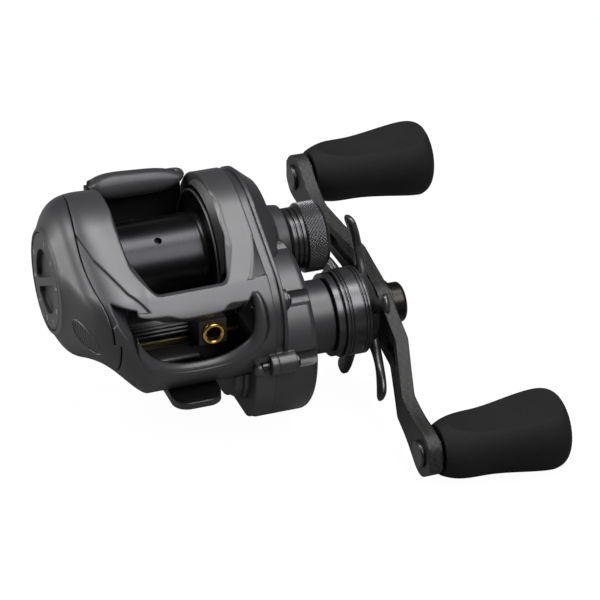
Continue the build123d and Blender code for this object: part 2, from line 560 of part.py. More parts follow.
def make_main_gear():
    """Main gear, cupped on the handle side for the drag washers."""
    gear = toothed(
        MAIN_TEETH, GEAR_MODULE, DRIVE, MAIN_LEFT, MAIN_RIGHT, DRIVE_ANGLE - 180
    )
    gear -= rod(MAIN_WEB, MAIN_RIGHT, DRAG_R + 0.4, DRIVE)
    gear -= rod(MAIN_LEFT, MAIN_WEB, DRIVE_SHAFT_R, DRIVE)
    for k in range(6):
        gear -= rod(MAIN_LEFT, MAIN_WEB, 1.6, polar(DRIVE, 7.5, 60 * k))
    return gear


def drag_disc(layer, outer):
    """One disc of the drag stack, counted from the main gear's web."""
    start = MAIN_WEB + layer * WASHER_T
    return rod(start, start + WASHER_T, outer, DRIVE, DRIVE_SHAFT_R)


def make_pressure_plate():
    start = MAIN_WEB + 3 * WASHER_T
    plate = rod(start, start + 0.9, DRAG_R - 0.6, DRIVE, DRIVE_SHAFT_R)
    return plate + rod(start + 0.9, CLUTCH_SLEEVE_LEFT, 5.0, DRIVE, DRIVE_SHAFT_R)


def make_ratchet():
    """Stop wheel on the drive shaft, with blunt lugs round its rim."""
    left, right = RATCHET_LEFT, RATCHET_LEFT + 1.0
    wheel = rod(left, right, 5.2, DRIVE, DRIVE_SHAFT_R)
    for k in range(RATCHET_LUGS):
        lug = slab((left, right), (4.6, 6.2), (-0.55, 0.55))
        wheel += Pos(0, *DRIVE) * Rot(360 * k / RATCHET_LUGS, 0, 0) * lug
    return wheel


def make_star_drag():
    """Star drag: grooved sleeve, dished hub and slender blades that lean back to the reel."""
    r = STAR_SLEEVE_R
    profile = (
        (STAR_LEFT, STAR_BORE_R), (STAR_LEFT, r - 0.5), (STAR_LEFT + 1.5, r - 0.5), (STAR_LEFT + 1.5, r - 1.1),
        (STAR_LEFT + 1.9, r - 1.1), (STAR_LEFT + 1.9, r), (STAR_LEFT + 2.5, r),
        (STAR_LEFT + 2.5, r - 0.3), (STAR_LEFT + 2.8, r - 0.3), (STAR_LEFT + 2.8, r),
        (STAR_SLEEVE_END - 0.9, r), (STAR_SLEEVE_END - 0.9, r - 0.3), (STAR_SLEEVE_END - 0.6, r - 0.3),
        (STAR_SLEEVE_END - 0.6, r), (STAR_SLEEVE_END, r), (STAR_SLEEVE_END + 0.7, r - 0.8),
        (STAR_OUTER - 0.8, r - 1.6), (STAR_OUTER, r - 2.8), (STAR_OUTER, DRIVE_SHAFT_R + RUN),
        (STAR_OUTER - STAR_FLOOR_T, DRIVE_SHAFT_R + RUN), (STAR_OUTER - STAR_FLOOR_T, STAR_BORE_R),
    )
    star = turned(profile, DRIVE)
    for k in range(STAR_BLADES):
        angle = STAR_FIRST_ANGLE + 360 * k / STAR_BLADES
        star += Pos(0, *DRIVE) * Rot(angle, 0, 0) * star_blade()
    return star


def star_blade():
    """One blade along +Y: a bowed strip in side view, waisted and round-ended in plan."""
    root, tip, lean = STAR_SLEEVE_R - 3.0, STAR_REACH, 2.9
    outer = Spline((STAR_OUTER - 0.5, root), (STAR_OUTER - 0.3, root + 5), (STAR_OUTER - lean + 0.6, tip))
    inner = Spline(
        (STAR_OUTER - lean - 0.8, tip), (STAR_OUTER - 2.0, root + 5), (STAR_OUTER - 2.0, root)
    )
    side = make_face([outer, Line(outer @ 1, inner @ 0), inner, Line(inner @ 1, outer @ 0)])
    strip = extrude(side, 4, both=True)
    waist, end = 1.0, 1.45
    plan = Pos(tip - end, 0) * Circle(end)
    plan += make_face(Polyline(
        (root, -1.7), (root + 5, -waist), (tip - 5, -waist), (tip - end, -end),
        (tip - end, end), (tip - 5, waist), (root + 5, waist), (root, 1.7), close=True,
    ))
    return strip & extrude(across(STAR_OUTER - 8) * plan, 16)


def make_star_nut():
    """Hexagon nut on the drive shaft, inside the star's sleeve."""
    plan = RegularPolygon(STAR_NUT_R, 6) - Circle(DRIVE_SHAFT_R + RUN)
    return extrude(across(STAR_NUT_LEFT) * Pos(*DRIVE) * plan, STAR_NUT_RIGHT - STAR_NUT_LEFT)


def make_spring_washers():
    """Two dished washers face to face between the clutch sleeve and the star nut."""
    start = CLUTCH_SLEEVE_RIGHT
    half = (STAR_NUT_LEFT - start) / 2 - 0.15
    rim, hub = STAR_NUT_R - 0.5, DRIVE_SHAFT_R
    first = turned(((start, hub), (start, rim - 0.6), (start + half, rim), (start + half, hub + 0.6)), DRIVE)
    second = turned((
        (start + half, hub + 0.6), (start + half, rim), (start + 2 * half, rim - 0.6),
        (start + 2 * half, hub)), DRIVE)
    return Part() + [first, second]


# ---------------------------------------------------------------- handle
def make_handle_arm():
    """Double arm: bent strip, waisted outline with round ends, and one slot in each half."""
    half, bend_in, bend_out = HANDLE_HALF, 14.0, 29.0
    low, high = ARM_END_X, ARM_HUB_X
    ends = half + 7
    under = [(-ends, low), (-bend_out, low), (-bend_in, high), (bend_in, high), (bend_out, low), (ends, low)]
    over = [(s, x + ARM_T) for s, x in reversed(under)]
    side = make_face(Polyline(*under, *over, close=True))
    bends = [v for v in side.vertices() if abs(v.X) < ends - 1]
    side = fillet(bends, 6.0)
    strip_plane = Plane(origin=(0, DRIVE_Y, DRIVE_Z), x_dir=along_handle().x_dir,
                        z_dir=along_handle().y_dir * -1)
    strip = extrude(strip_plane * side, 12, both=True)
    hub_w, waist_w, end_r = 5.2, 3.5, 5.4
    outline = [
        (0, hub_w + 0.8), (7, hub_w), (26, waist_w), (half - 5, waist_w + 0.8), (half, end_r),
        (half + end_r, 0),
    ]
    top = Spline(*[(-s, w) for s, w in reversed(outline[1:])], *outline)
    plan = make_face([top, mirror(top, Plane.XZ)])
    plan = Circle(hub_w + 1.0) + plan
    for far, near in ((11.0, 23.0), (-9.5, -19.0)):
        plan -= Pos((far + near) / 2, 0) * SlotOverall(abs(far - near), 3.2)
    for side_sign in (-1, 1):
        plan -= Pos(side_sign * half, 0) * Circle(POST_R)
    plan -= flatted(DRIVE_SHAFT_R)
    return strip & extrude(along_handle(ARM_END_X - 3) * plan, 14)


def knob_centres():
    """Axes of the two knobs, by name."""
    return {
        "front": polar(DRIVE, -HANDLE_HALF, HANDLE_ANGLE),
        "rear": polar(DRIVE, HANDLE_HALF, HANDLE_ANGLE),
    }


def make_knob_post(centre):
    """Riveted post: head on the reel side of the arm, shank through the knob."""
    post = rod(ARM_END_X, POST_END, POST_R, centre)
    head = rod(ARM_END_X - 0.9, ARM_END_X, 3.0, centre)
    return post + fillet(head.edges().filter_by(GeomType.CIRCLE).sort_by(Axis.X)[0], 0.4)


def make_knob(centre):
    """Foam knob: narrow neck, flared end, and a dished flat above and below for finger and thumb."""
    outer = Spline(
        (KNOB_START, KNOB_NECK_R), (KNOB_START + 3.5, KNOB_WAIST_R), (KNOB_START + 10, KNOB_WAIST_R + 0.5),
        (KNOB_END - 6, KNOB_BIG_R), (KNOB_END - 1.6, KNOB_BIG_R - 0.7), (KNOB_END, KNOB_BIG_R - 3.2),
    )
    closing = Polyline(outer @ 1, (KNOB_END, 0), (KNOB_START, 0), outer @ 0)
    knob = revolve(make_face([outer, closing]), Axis.X)
    dish_r, dish_x = 60.0, KNOB_START + 12.5
    for side in (-1, 1):
        knob -= Pos(dish_x, 0, side * (KNOB_WAIST_R - 1.4 + dish_r)) * Rot(90, 0, 0) * Cylinder(dish_r, 40)
    knob -= rod(KNOB_START, POST_END + 1.6, BUSH_R, (0, 0))
    return Pos(0, *centre) * knob


def make_knob_bearings(centre):
    """Two small bearings pressed in the knob, running on the post."""
    ends = ((KNOB_START + 0.6, KNOB_START + 3.1), (POST_END - 3.3, POST_END - 0.8))
    return Part() + [ball_bearing(a, b, centre, POST_R + RUN, BUSH_R) for a, b in ends]


def make_knob_washer(centre):
    return rod(ARM_END_X + ARM_T, KNOB_START - SEAM, 4.2, centre, POST_R)


def make_handle_nut():
    """Domed barrel nut that holds the arm on the drive shaft."""
    start = ARM_FACE_X
    nut = rod(start, NUT_END, 4.6, DRIVE)
    nut = fillet(nut.edges().filter_by(GeomType.CIRCLE).sort_by(Axis.X)[-1], 0.9)
    nut += rod(start, start + 0.8, 5.4, DRIVE)
    return nut - rod(start, DRIVE_SHAFT_END, DRIVE_SHAFT_R, DRIVE)


# ---------------------------------------------------------------- tension cap
def make_tension_cap():
    """Spool tension cap: grooved neck and knurl-ready rim, threaded over the cover's boss."""
    r = TENSION_CAP_R
    neck = r - 0.5
    steps = ((TENSION_CAP_LEFT, neck - 0.3), (TENSION_CAP_LEFT + 0.5, neck), (TENSION_CAP_LEFT + 1.2, neck),
             (TENSION_CAP_LEFT + 1.2, neck - 0.4), (TENSION_CAP_LEFT + 1.6, neck - 0.4),
             (TENSION_CAP_LEFT + 1.6, neck), (TENSION_CAP_LEFT + 2.4, neck),
             (TENSION_CAP_LEFT + 2.4, neck - 0.4), (TENSION_CAP_LEFT + 2.8, neck - 0.4),
             (TENSION_CAP_LEFT + 2.8, neck))
    cap = turned((
        (TENSION_CAP_LEFT, TENSION_BOSS_R + RUN), *steps, (TENSION_KNURL_LEFT, neck),
        (TENSION_KNURL_LEFT + 0.3, r), (TENSION_CAP_RIGHT - 1.2, r), (TENSION_CAP_RIGHT - 0.4, r - 0.6),
        (TENSION_CAP_RIGHT, r - 1.6), (TENSION_CAP_RIGHT, 0), (TENSION_CAP_RIGHT - 1.6, 0),
        (TENSION_CAP_RIGHT - 1.6, TENSION_BOSS_R + RUN),
    ))
    return cap


def make_tension_pad():
    """Friction pad inside the cap that the end of the spool shaft bears on."""
    return rod(SHAFT_RIGHT + SEAM, TENSION_CAP_RIGHT - 1.6, 2.6)


# ---------------------------------------------------------------- line guide
def make_worm():
    """Level-wind worm: a barrel between two journals."""
    worm = rod(NOSE_LEFT + 0.6, PLATE_LEFT - 0.6, WORM_R, WORM)
    return worm + rod(NOSE_LEFT - 1.4, GUIDE_GEAR_RIGHT + 0.4, WORM_JOURNAL_R, WORM)


def make_worm_tube():
    """Guard tube round the worm, open along its lower front for the pawl."""
    tube = rod(NOSE_LEFT, PLATE_LEFT, WORM_TUBE_R, WORM, WORM_TUBE_R - 0.55)
    slot = Pos(0, *WORM) * Rot(WORM_SLOT_TURN, 0, 0) * slab(
        (NOSE_LEFT + 2, PLATE_LEFT - 2), (-4, 0), (-WORM_SLOT / 2, WORM_SLOT / 2))
    return tube - slot


def make_worm_bushing(x0, x1):
    return rod(x0, x1, 2.4, WORM, WORM_JOURNAL_R + RUN)


def make_guide_gear(teeth, centre, bore, angle):
    gear = toothed(teeth, GUIDE_MODULE, centre, GUIDE_GEAR_LEFT, GUIDE_GEAR_RIGHT, angle)
    return gear - rod(GUIDE_GEAR_LEFT, GUIDE_GEAR_RIGHT, bore, centre)


def make_line_guide():
    """Carriage on the guard tube with the eye holder in front and the pawl housing below."""
    width = 6.2
    left, right = GUIDE_X - width / 2, GUIDE_X + width / 2
    bore = WORM_TUBE_R + RUN
    carriage = rod(left, right, bore + 0.5, WORM)
    snout_z = (WORM_Z + 0.4, EYE_Z + EYE_R + 0.5)
    carriage += slab((left, right), (EYE_Y, WORM_Y), snout_z)
    carriage += rod(left + 1.2, right - 1.2, 1.7, BAR)
    carriage += slab((left + 1.2, right - 1.2), (WORM_Y, BAR[0]), (BAR[1] - 0.9, WORM_Z))
    carriage -= rod(left, right, bore, WORM)
    carriage -= rod(left, right, BAR_R + RUN, BAR)
    eye = Plane(origin=(GUIDE_X, EYE_Y, EYE_Z), z_dir=(0, 1, 0))
    carriage -= extrude(eye * Circle(EYE_BORE_R + 0.2), 14)
    return carriage - extrude(eye * Circle(EYE_R - 0.6), EYE_T - 0.6)


def make_eye():
    """Hard ring that the line runs through, rounded inside and out."""
    half, middle = (EYE_R - EYE_BORE_R) / 2, (EYE_R + EYE_BORE_R) / 2
    ring = Torus(middle, half)
    collar = Cylinder(EYE_R - 0.6, EYE_T - 0.6, align=(Align.CENTER, Align.CENTER, Align.MIN))
    collar -= Cylinder(EYE_BORE_R + 0.2, 5)
    eye = Plane(origin=(GUIDE_X, EYE_Y, EYE_Z), z_dir=(0, 1, 0))
    return eye * (Pos(0, 0, -half) * ring + Pos(0, 0, -half) * Cylinder(middle, half, align=(
        Align.CENTER, Align.CENTER, Align.MIN)) - Cylinder(EYE_BORE_R, 5) + collar)


def make_guide_bar():
    return rod(NOSE_LEFT, PLATE_LEFT, BAR_R, BAR)


# ---------------------------------------------------------------- thumb bar and foot
def make_thumb_bar():
    """Broad saddle-shaped bar with a rounded top and rounded ends."""
    left, right = ARCH_LEFT + 1.1, ARCH_RIGHT - SEAM
    middle = (left + right) / 2
    crown = ThreePointArc((left, THUMB_Z + 1.3), (middle, THUMB_Z + 4.7), (right, THUMB_Z + 1.8))
    sole = Polyline(crown @ 1, (right, THUMB_Z + 0.4), (middle, THUMB_Z), (left, THUMB_Z), crown @ 0)
    side = make_face([crown, sole])
    side = fillet([v for v in side.vertices() if v.X < left + 0.1 and v.Y > THUMB_Z + 1], 0.9)
    bar = extrude(Plane.XZ.offset(-THUMB_FRONT) * side, -THUMB_DEPTH)
    return bar & rod(left, right, THUMB_BACK_R)


def make_thumb_slide():
    """Plate under the thumb bar that runs down between the arches to the clutch cam."""
    left, right = ARCH_LEFT + SEAM, ARCH_RIGHT - SEAM
    return slab((left, right), (THUMB_FRONT + 4.4, THUMB_FRONT + 6.4), (THUMB_Z - 9.5, THUMB_Z))


def make_foot():
    """Reel foot: long plate with round ends, thinned towards its tips."""
    plan = RectangleRounded(FOOT_WIDTH, FOOT_LENGTH, 3.4)
    foot = extrude(plan, FOOT_T)
    for side in (-1, 1):
        tip = Pos(0, side * FOOT_LENGTH / 2, FOOT_T + 0.2) * Rot(side * -5.5, 0, 0) * Box(20, 24, 2.2)
        foot -= tip
    return foot


def make_cover_screws():
    """The three screws that hold the gear-side cover, with cross-slotted domed heads."""
    screws = []
    for place in screw_places():
        head = rod(SCREW_SEAT, SCREW_SEAT + SCREW_HEAD_T, SCREW_HEAD_R, place)
        head = fillet(head.edges().filter_by(GeomType.CIRCLE).sort_by(Axis.X)[-1], 0.4)
        for turn in (20, 110):
            slot = slab((SCREW_SEAT + 0.5, SCREW_SEAT + 2), (-0.9, 0.9), (-0.2, 0.2))
            head -= Pos(0, *place) * Rot(turn, 0, 0) * slot
        screws.append(head + rod(SCREW_END + SEAM, SCREW_SEAT, SCREW_R, place))
    return Part() + screws


# ---------------------------------------------------------------- assembly
def make_parts():
    """Every node of the reel by name."""
    body = outer_body()
    centres = knob_centres()
    parts = {
        "frame": make_frame(body),
        "reel_foot": make_foot(),
        "gear_cover": make_gear_cover(),
        "cover_screws_gear": make_cover_screws(),
        "palm_cover": make_palm_cover(body),
        "palm_bearing": ball_bearing(-21.6, -19.4, SPOOL, SHAFT_R + RUN, BEARING_R - 0.5),
        "brake_dial": make_brake_dial(),
        "magnet_carrier": make_magnet_carrier(),
        "brake_magnets": make_magnets(),
        "spool": make_spool(),
        "spool_shaft": make_spool_shaft(),
        "spool_pin": make_spool_pin(),
        "brake_rotor": make_brake_rotor(),
        "spool_bearing": ball_bearing(
            SPOOL_BEARING_X, SPOOL_BEARING_X + BEARING_T, SPOOL, SHAFT_TIP_R + RUN, BEARING_R),
        "pinion_bearing": ball_bearing(
            PINION_BEARING_X, PINION_BEARING_X + BEARING_T, SPOOL, PINION_JOURNAL_R + RUN, BEARING_R),
        "pinion": make_pinion(),
        "clutch_yoke": make_yoke(),
        "yoke_posts": make_yoke_posts(),
        "yoke_springs": make_yoke_springs(),
        "clutch_cam": make_clutch_cam(),
        "thumb_bar": make_thumb_bar(),
        "thumb_slide": make_thumb_slide(),
        "drive_shaft": make_drive_shaft(),
        "drive_bearing": ball_bearing(PLATE_LEFT + 0.3, PLATE_FLOOR, DRIVE, DRIVE_SHAFT_R + RUN, 4.0),
        "stop_ratchet": make_ratchet(),
        "main_gear": make_main_gear(),
        "drag_washer_inner": drag_disc(0, DRAG_R),
        "drag_plate": drag_disc(1, DRAG_R - 0.4),
        "drag_washer_outer": drag_disc(2, DRAG_R),
        "pressure_plate": make_pressure_plate(),
        "clutch_sleeve": rod(CLUTCH_SLEEVE_LEFT, CLUTCH_SLEEVE_RIGHT, CLUTCH_SLEEVE_R, DRIVE, DRIVE_SHAFT_R),
        "one_way_bearing": rod(
            COVER_FACE_X - COVER_WALL, CLUTCH_BOSS_END - 0.8, CLUTCH_BEARING_R, DRIVE, CLUTCH_SLEEVE_R + RUN),
        "spring_washers": make_spring_washers(),
        "star_drag": make_star_drag(),
        "star_nut": make_star_nut(),
        "handle_arm": make_handle_arm(),
        "handle_nut": make_handle_nut(),
        "tension_cap": make_tension_cap(),
        "tension_pad": make_tension_pad(),
        "worm": make_worm(),
        "worm_tube": make_worm_tube(),
        "worm_bushing_palm": make_worm_bushing(NOSE_LEFT - 1.6, NOSE_LEFT),
        "worm_bushing_gear": make_worm_bushing(PLATE_LEFT, PLATE_FLOOR),
        "worm_gear": make_guide_gear(
            GUIDE_TEETH, WORM, WORM_JOURNAL_R, GUIDE_ANGLE + 180 + 180 / GUIDE_TEETH),
        "guide_drive_gear": make_guide_gear(GUIDE_DRIVE_TEETH, DRIVE, DRIVE_SHAFT_R + 1.0, GUIDE_ANGLE),
        "guide_bar": make_guide_bar(),
        "line_guide": make_line_guide(),
        "line_eye": make_eye(),
    }
    for name, centre in centres.items():
        parts[f"knob_post_{name}"] = make_knob_post(centre)
        parts[f"knob_{name}"] = make_knob(centre)
        parts[f"knob_bearings_{name}"] = make_knob_bearings(centre)
        parts[f"knob_washer_{name}"] = make_knob_washer(centre)
    return parts


os.makedirs("parts", exist_ok=True)
for node_name, solid in make_parts().items():
    export_step(solid, os.path.join("parts", f"{node_name}.step"))
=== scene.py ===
"""Low-profile baitcasting reel: finishes, fine pieces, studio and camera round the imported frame."""

import logging
import math
from dataclasses import dataclass
from enum import Enum
from typing import Any, Optional

import bpy
import numpy as np
from mathutils import Matrix, Vector


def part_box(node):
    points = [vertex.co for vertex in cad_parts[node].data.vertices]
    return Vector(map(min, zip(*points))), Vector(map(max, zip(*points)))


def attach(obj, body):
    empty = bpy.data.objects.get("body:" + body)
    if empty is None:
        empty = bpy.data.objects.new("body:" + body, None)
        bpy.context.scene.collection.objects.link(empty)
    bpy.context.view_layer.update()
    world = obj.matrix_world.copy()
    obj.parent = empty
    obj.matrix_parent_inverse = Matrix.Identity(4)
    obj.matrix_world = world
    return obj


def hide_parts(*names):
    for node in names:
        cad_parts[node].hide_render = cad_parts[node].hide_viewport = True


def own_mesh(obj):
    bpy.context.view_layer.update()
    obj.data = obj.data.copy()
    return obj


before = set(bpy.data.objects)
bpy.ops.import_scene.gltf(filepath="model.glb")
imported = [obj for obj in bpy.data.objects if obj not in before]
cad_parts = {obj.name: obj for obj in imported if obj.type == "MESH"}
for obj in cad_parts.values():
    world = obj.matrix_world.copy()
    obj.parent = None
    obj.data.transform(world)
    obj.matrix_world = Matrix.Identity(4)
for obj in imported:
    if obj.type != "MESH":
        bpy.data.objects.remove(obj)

LOG = logging.getLogger("reel")
MM = 0.001
FULL_TURN = 2 * math.pi
BEVEL_SAMPLES = 6
COARSE_DETAIL = 3.0
FINE_DETAIL, FINE_ROUGHNESS = 4.0, 0.6

Pair = tuple[float, float]
Triple = tuple[float, float, float]
Mesh = tuple[np.ndarray, list[list[int]]]
Tree = bpy.types.NodeTree
Socket = bpy.types.NodeSocket


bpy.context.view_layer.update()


# ---------------------------------------------------------------- colour and nodes
def linear(colour: str) -> tuple[float, float, float, float]:
    """Turn an sRGB hex colour such as "#8A8C8E" into linear RGBA, by the standard's two-part curve.

    Args:
        colour: six hex digits after a hash.
    Returns:
        Linear red, green, blue and an alpha of 1.
    """
    parts = [int(colour[i : i + 2], 16) / 255 for i in (1, 3, 5)]
    return (*[c / 12.92 if c <= 0.04045 else ((c + 0.055) / 1.055) ** 2.4 for c in parts], 1.0)


def add(tree: Tree, kind: str, settings: Optional[dict] = None, **inputs: Any) -> bpy.types.Node:
    """Add one node with its settings and what feeds it.

    Args:
        tree: the node tree.
        kind: node type without its "ShaderNode" prefix.
        settings: attributes to set on the node.
        inputs: input socket names, with _ for a space, or i0, i1 for a place in order; each is a value
            or the output socket of another node.
    Returns:
        The new node.
    """
    node = tree.nodes.new("ShaderNode" + kind)
    for key, value in (settings or {}).items():
        setattr(node, key, value)
    for key, value in inputs.items():
        place = int(key[1:]) if key[0] == "i" and key[1:].isdigit() else key.replace("_", " ")
        socket = node.inputs[place]
        if isinstance(value, Socket):
            tree.links.new(value, socket)
        else:
            socket.default_value = value
    return node


class Grain(Enum):
    """Fine surface structure of a finish."""

    FLAKE = "flake"
    MOULDED = "moulded"
    TURNED = "turned"
    FOAM = "foam"
    WEAVE = "weave"
    CAST = "cast"


@dataclass(frozen=True)
class Finish:
    """A surface finish.

    Colours are sRGB hex. grain_mm is the size of one grain as drawn, bump_mm its height and edge_mm the radius of
    the rounded edges. Roughness swings by rough_swing from blotch to blotch. Turned grain is drawn out round the
    axis, where only turned_share of its scale is left, and the weave's squares have two values, dark and light.
    """

    name: str
    colour: str
    second: str
    metallic: float
    roughness: float
    grain: Grain
    grain_mm: float
    bump_mm: float
    edge_mm: float
    coat: float = 0.0
    coat_roughness: float = 0.1
    rough_swing: float = 0.06
    specular: float = 0.5
    blotches_per_metre: float = 90.0
    turned_share: float = 0.02
    weave_turn: float = 0.7
    weave_values: Pair = (0.2, 0.9)

    def pattern(self, tree: Tree, where: Socket) -> Socket:
        """The grain as a value from 0 to 1.

        Args:
            tree: the material's nodes.
            where: object coordinates in metres.
        Returns:
            Output socket of the grain.
        """
        scale = 1 / (self.grain_mm * MM)
        if self.grain is Grain.TURNED:
            drawn_out = scale * self.turned_share
            rings = add(tree, "Mapping", Vector=where, Scale=(scale, drawn_out, drawn_out))
            return add(tree, "TexNoise", Vector=rings.outputs[0], Scale=1.0, Detail=COARSE_DETAIL).outputs[0]
        if self.grain is Grain.WEAVE:
            cloth = add(tree, "Mapping", Vector=where, Rotation=(self.weave_turn, 0, 0), Scale=(scale, scale, scale))
            dark, light = ((value, value, value, 1) for value in self.weave_values)
            return add(tree, "TexChecker", Vector=cloth.outputs[0], Scale=1.0, Color1=dark, Color2=light).outputs[1]
        if self.grain is Grain.FLAKE:
            return add(tree, "TexVoronoi", Vector=where, Scale=scale).outputs["Color"]
        return add(tree, "TexNoise", Vector=where, Scale=scale, Detail=FINE_DETAIL, Roughness=FINE_ROUGHNESS).outputs[0]

    def tint(self, tree: Tree, where: Socket, colour: Socket) -> Socket:
        """The colour over the whole object, which a kind of finish may change from place to place."""
        return colour

    def build(self) -> bpy.types.Material:
        """Make the material.

        Returns:
            A node material with colour, gloss and bump that vary over the surface.
        """
        found = bpy.data.materials.get(self.name)
        if found:
            return found
        material = bpy.data.materials.new(self.name)
        material.use_nodes = True
        tree = material.node_tree
        tree.nodes.clear()
        where = add(tree, "TexCoord").outputs["Object"]
        grain = self.pattern(tree, where)
        blotch = add(tree, "TexNoise", Vector=where, Scale=self.blotches_per_metre, Detail=COARSE_DETAIL).outputs[0]
        share = add(tree, "Math", {"operation": "MULTIPLY"}, i0=grain, i1=blotch).outputs[0]
        mixed = add(tree, "Mix", {"data_type": "RGBA"}, Factor=share, i6=linear(self.colour), i7=linear(self.second))
        colour = self.tint(tree, where, mixed.outputs[2])
        gloss = add(tree, "MapRange", Value=blotch, i3=self.roughness - self.rough_swing,
                    i4=self.roughness + self.rough_swing).outputs[0]
        bevel = add(tree, "Bevel", {"samples": BEVEL_SAMPLES}, Radius=self.edge_mm * MM).outputs[0]
        bump = add(tree, "Bump", Height=grain, Distance=self.bump_mm * MM, Strength=1.0, Normal=bevel).outputs[0]
        shader = add(tree, "BsdfPrincipled", Base_Color=colour, Roughness=gloss, Metallic=self.metallic,
                     Coat_Weight=self.coat, Coat_Roughness=self.coat_roughness, Normal=bump)
        if self.metallic < 1:
            shader.inputs["Specular IOR Level"].default_value = self.specular
        add(tree, "OutputMaterial", Surface=shader.outputs[0])
        return material


@dataclass(frozen=True)
class ShadedHollowPaint(Finish):
    """Frame paint with painted shade: past the mouth of the frame's hollow the colour is black, standing in for the
    shade inside it.

    The hollow is a rounded wedge from one circle to another, each given as y, z and radius in mm,
    between two places along X.
    """

    rear: Triple = (0.0, 19.5, 15.8)
    front: Triple = (-17.0, 14.5, 12.7)
    span: Pair = (-14.0, 13.9)
    # The black of the painted shade inside the hollow.
    inside: str = "#0C0C0D"

    def tint(self, tree: Tree, where: Socket, colour: Socket) -> Socket:
        """Painted shade: black where the distance to the line between the two centres is under the radius there.

        Args:
            tree: the material's nodes.
            where: object coordinates in metres.
            colour: the paint.
        Returns:
            Output socket of the colour.
        """
        start = Vector((0, self.rear[0], self.rear[1])) * MM
        way = Vector((0, self.front[0], self.front[1])) * MM - start
        flat = add(tree, "VectorMath", {"operation": "MULTIPLY"}, i0=where, i1=(0, 1, 1)).outputs[0]
        off = add(tree, "VectorMath", {"operation": "SUBTRACT"}, i0=flat, i1=start).outputs[0]
        run = add(tree, "VectorMath", {"operation": "DOT_PRODUCT"}, i0=off, i1=way / way.length_squared)
        share = add(tree, "Math", {"operation": "ADD", "use_clamp": True}, i0=run.outputs[1], i1=0).outputs[0]
        foot = add(tree, "VectorMath", {"operation": "SCALE"}, i0=way, Scale=share).outputs[0]
        distance = add(tree, "VectorMath", {"operation": "DISTANCE"}, i0=off, i1=foot).outputs[1]
        reach = add(tree, "MapRange", Value=share, i3=self.rear[2] * MM, i4=self.front[2] * MM).outputs[0]
        # Painted shade: the mask is 1 inside the hollow, where the colour turns black.
        shade_mask = add(tree, "Math", {"operation": "LESS_THAN"}, i0=distance, i1=reach).outputs[0]
        x = add(tree, "SeparateXYZ", Vector=where).outputs[0]
        for limit, side in zip(self.span, ("GREATER_THAN", "LESS_THAN")):
            within = add(tree, "Math", {"operation": side}, i0=x, i1=limit * MM).outputs[0]
            shade_mask = add(tree, "Math", {"operation": "MULTIPLY"}, i0=shade_mask, i1=within).outputs[0]
        return add(tree, "Mix", {"data_type": "RGBA"}, Factor=shade_mask, i6=colour, i7=linear(self.inside)).outputs[2]


# Each finish gives its name, two colours, metallic, roughness, grain, and the sizes of grain, bump and edge in mm.
# Real flakes, turned rings and moulded grain are finer; here they are as coarse as they need to be to show.

# Metal-flake lacquer on the cast frame: slate grey, a soft sheen and a faint sparkle; inside the hollow it turns black
# as painted shade.
FRAME_PAINT = ShadedHollowPaint("satin_paint_frame", "#323234", "#3E3E40", 0.25, 0.4, Grain.FLAKE, 0.12, 0.002, 0.6,
                         specular=0.7)
# The same lacquer on the two moulded covers, a shade darker than on the frame.
COVER_PAINT = Finish("satin_paint_cover", "#2C2C2E", "#363638", 0.25, 0.4, Grain.FLAKE, 0.12, 0.002, 0.5, specular=0.7)
# Spark-textured ABS: dull grey-black with a broad, weak highlight.
DIAL_BLACK = Finish("moulded_black_dial", "#3A3A3C", "#464648", 0.3, 0.42, Grain.MOULDED, 0.2, 0.004, 0.3)
# Turned and anodised aluminium: nearly black, with a hard streak of light along the drum.
SPOOL_BLACK = Finish("anodised_black_spool", "#222224", "#2A2A2C", 0.9, 0.28, Grain.TURNED, 0.15, 0.001, 0.2)
# The same in grey-black on the star and its sleeve: narrow highlights that follow each groove.
STAR_BLACK = Finish("anodised_black_star", "#48484A", "#545456", 0.75, 0.3, Grain.TURNED, 0.2, 0.001, 0.3)
# Fine carbon cloth under satin resin: small dark squares that catch the light by turns.
ARM_CARBON = Finish("carbon_fibre_arm", "#191919", "#2E2D2B", 0.1, 0.48, Grain.WEAVE, 0.9, 0.004, 0.4, specular=0.3)
# Ground EVA foam: soot black and matt, with a pitted skin that spreads every highlight.
FOAM = Finish("eva_foam_knob", "#0B0B0C", "#202021", 0.0, 0.75, Grain.FOAM, 0.5, 0.03, 0.3, specular=0.2)
# Turned and anodised aluminium, dark grey: fine rings about the cap's axis.
CAP_GREY = Finish("anodised_grey_cap", "#3C3C3D", "#4A4A4B", 0.8, 0.32, Grain.TURNED, 0.2, 0.001, 0.25)
# Baked enamel on a forged foot: deep black under a clear gloss.
FOOT_BLACK = Finish("enamel_black_foot", "#161617", "#1E1E1F", 0.2, 0.22, Grain.CAST, 0.5, 0.004, 0.5, coat=0.4)
# Painted nylon where the thumb rests: slate grey with a quiet sheen.
THUMB_GREY = Finish("moulded_grey_thumb_bar", "#2C2C2E", "#363638", 0.25, 0.44, Grain.MOULDED, 0.15, 0.003, 0.5)
# Moulded nylon: plain black, half matt.
BLACK_PLASTIC = Finish("moulded_black_nylon", "#141415", "#1C1C1D", 0.0, 0.45, Grain.MOULDED, 0.2, 0.004, 0.3)
# Dark bronze plating on a turned nut: warm glints on nearly black.
NUT_BRONZE = Finish("plated_bronze_nut", "#262422", "#302D2A", 0.85, 0.3, Grain.TURNED, 0.2, 0.001, 0.3)
# Turned stainless steel: cool and bright, with fine rings.
STEEL = Finish("stainless_steel", "#A8A8A6", "#BEBEBC", 1.0, 0.26, Grain.TURNED, 0.1, 0.001, 0.15)
# Cut brass: warm yellow with the cutter's marks.
BRASS = Finish("cut_brass", "#A88C50", "#B89C60", 1.0, 0.3, Grain.TURNED, 0.1, 0.001, 0.15)
# Titanium nitride on a polished ring: deep gold with small sharp highlights.
GOLD = Finish("titanium_nitride_ring", "#C8A040", "#D8B050", 1.0, 0.2, Grain.CAST, 0.3, 0.001, 0.1)
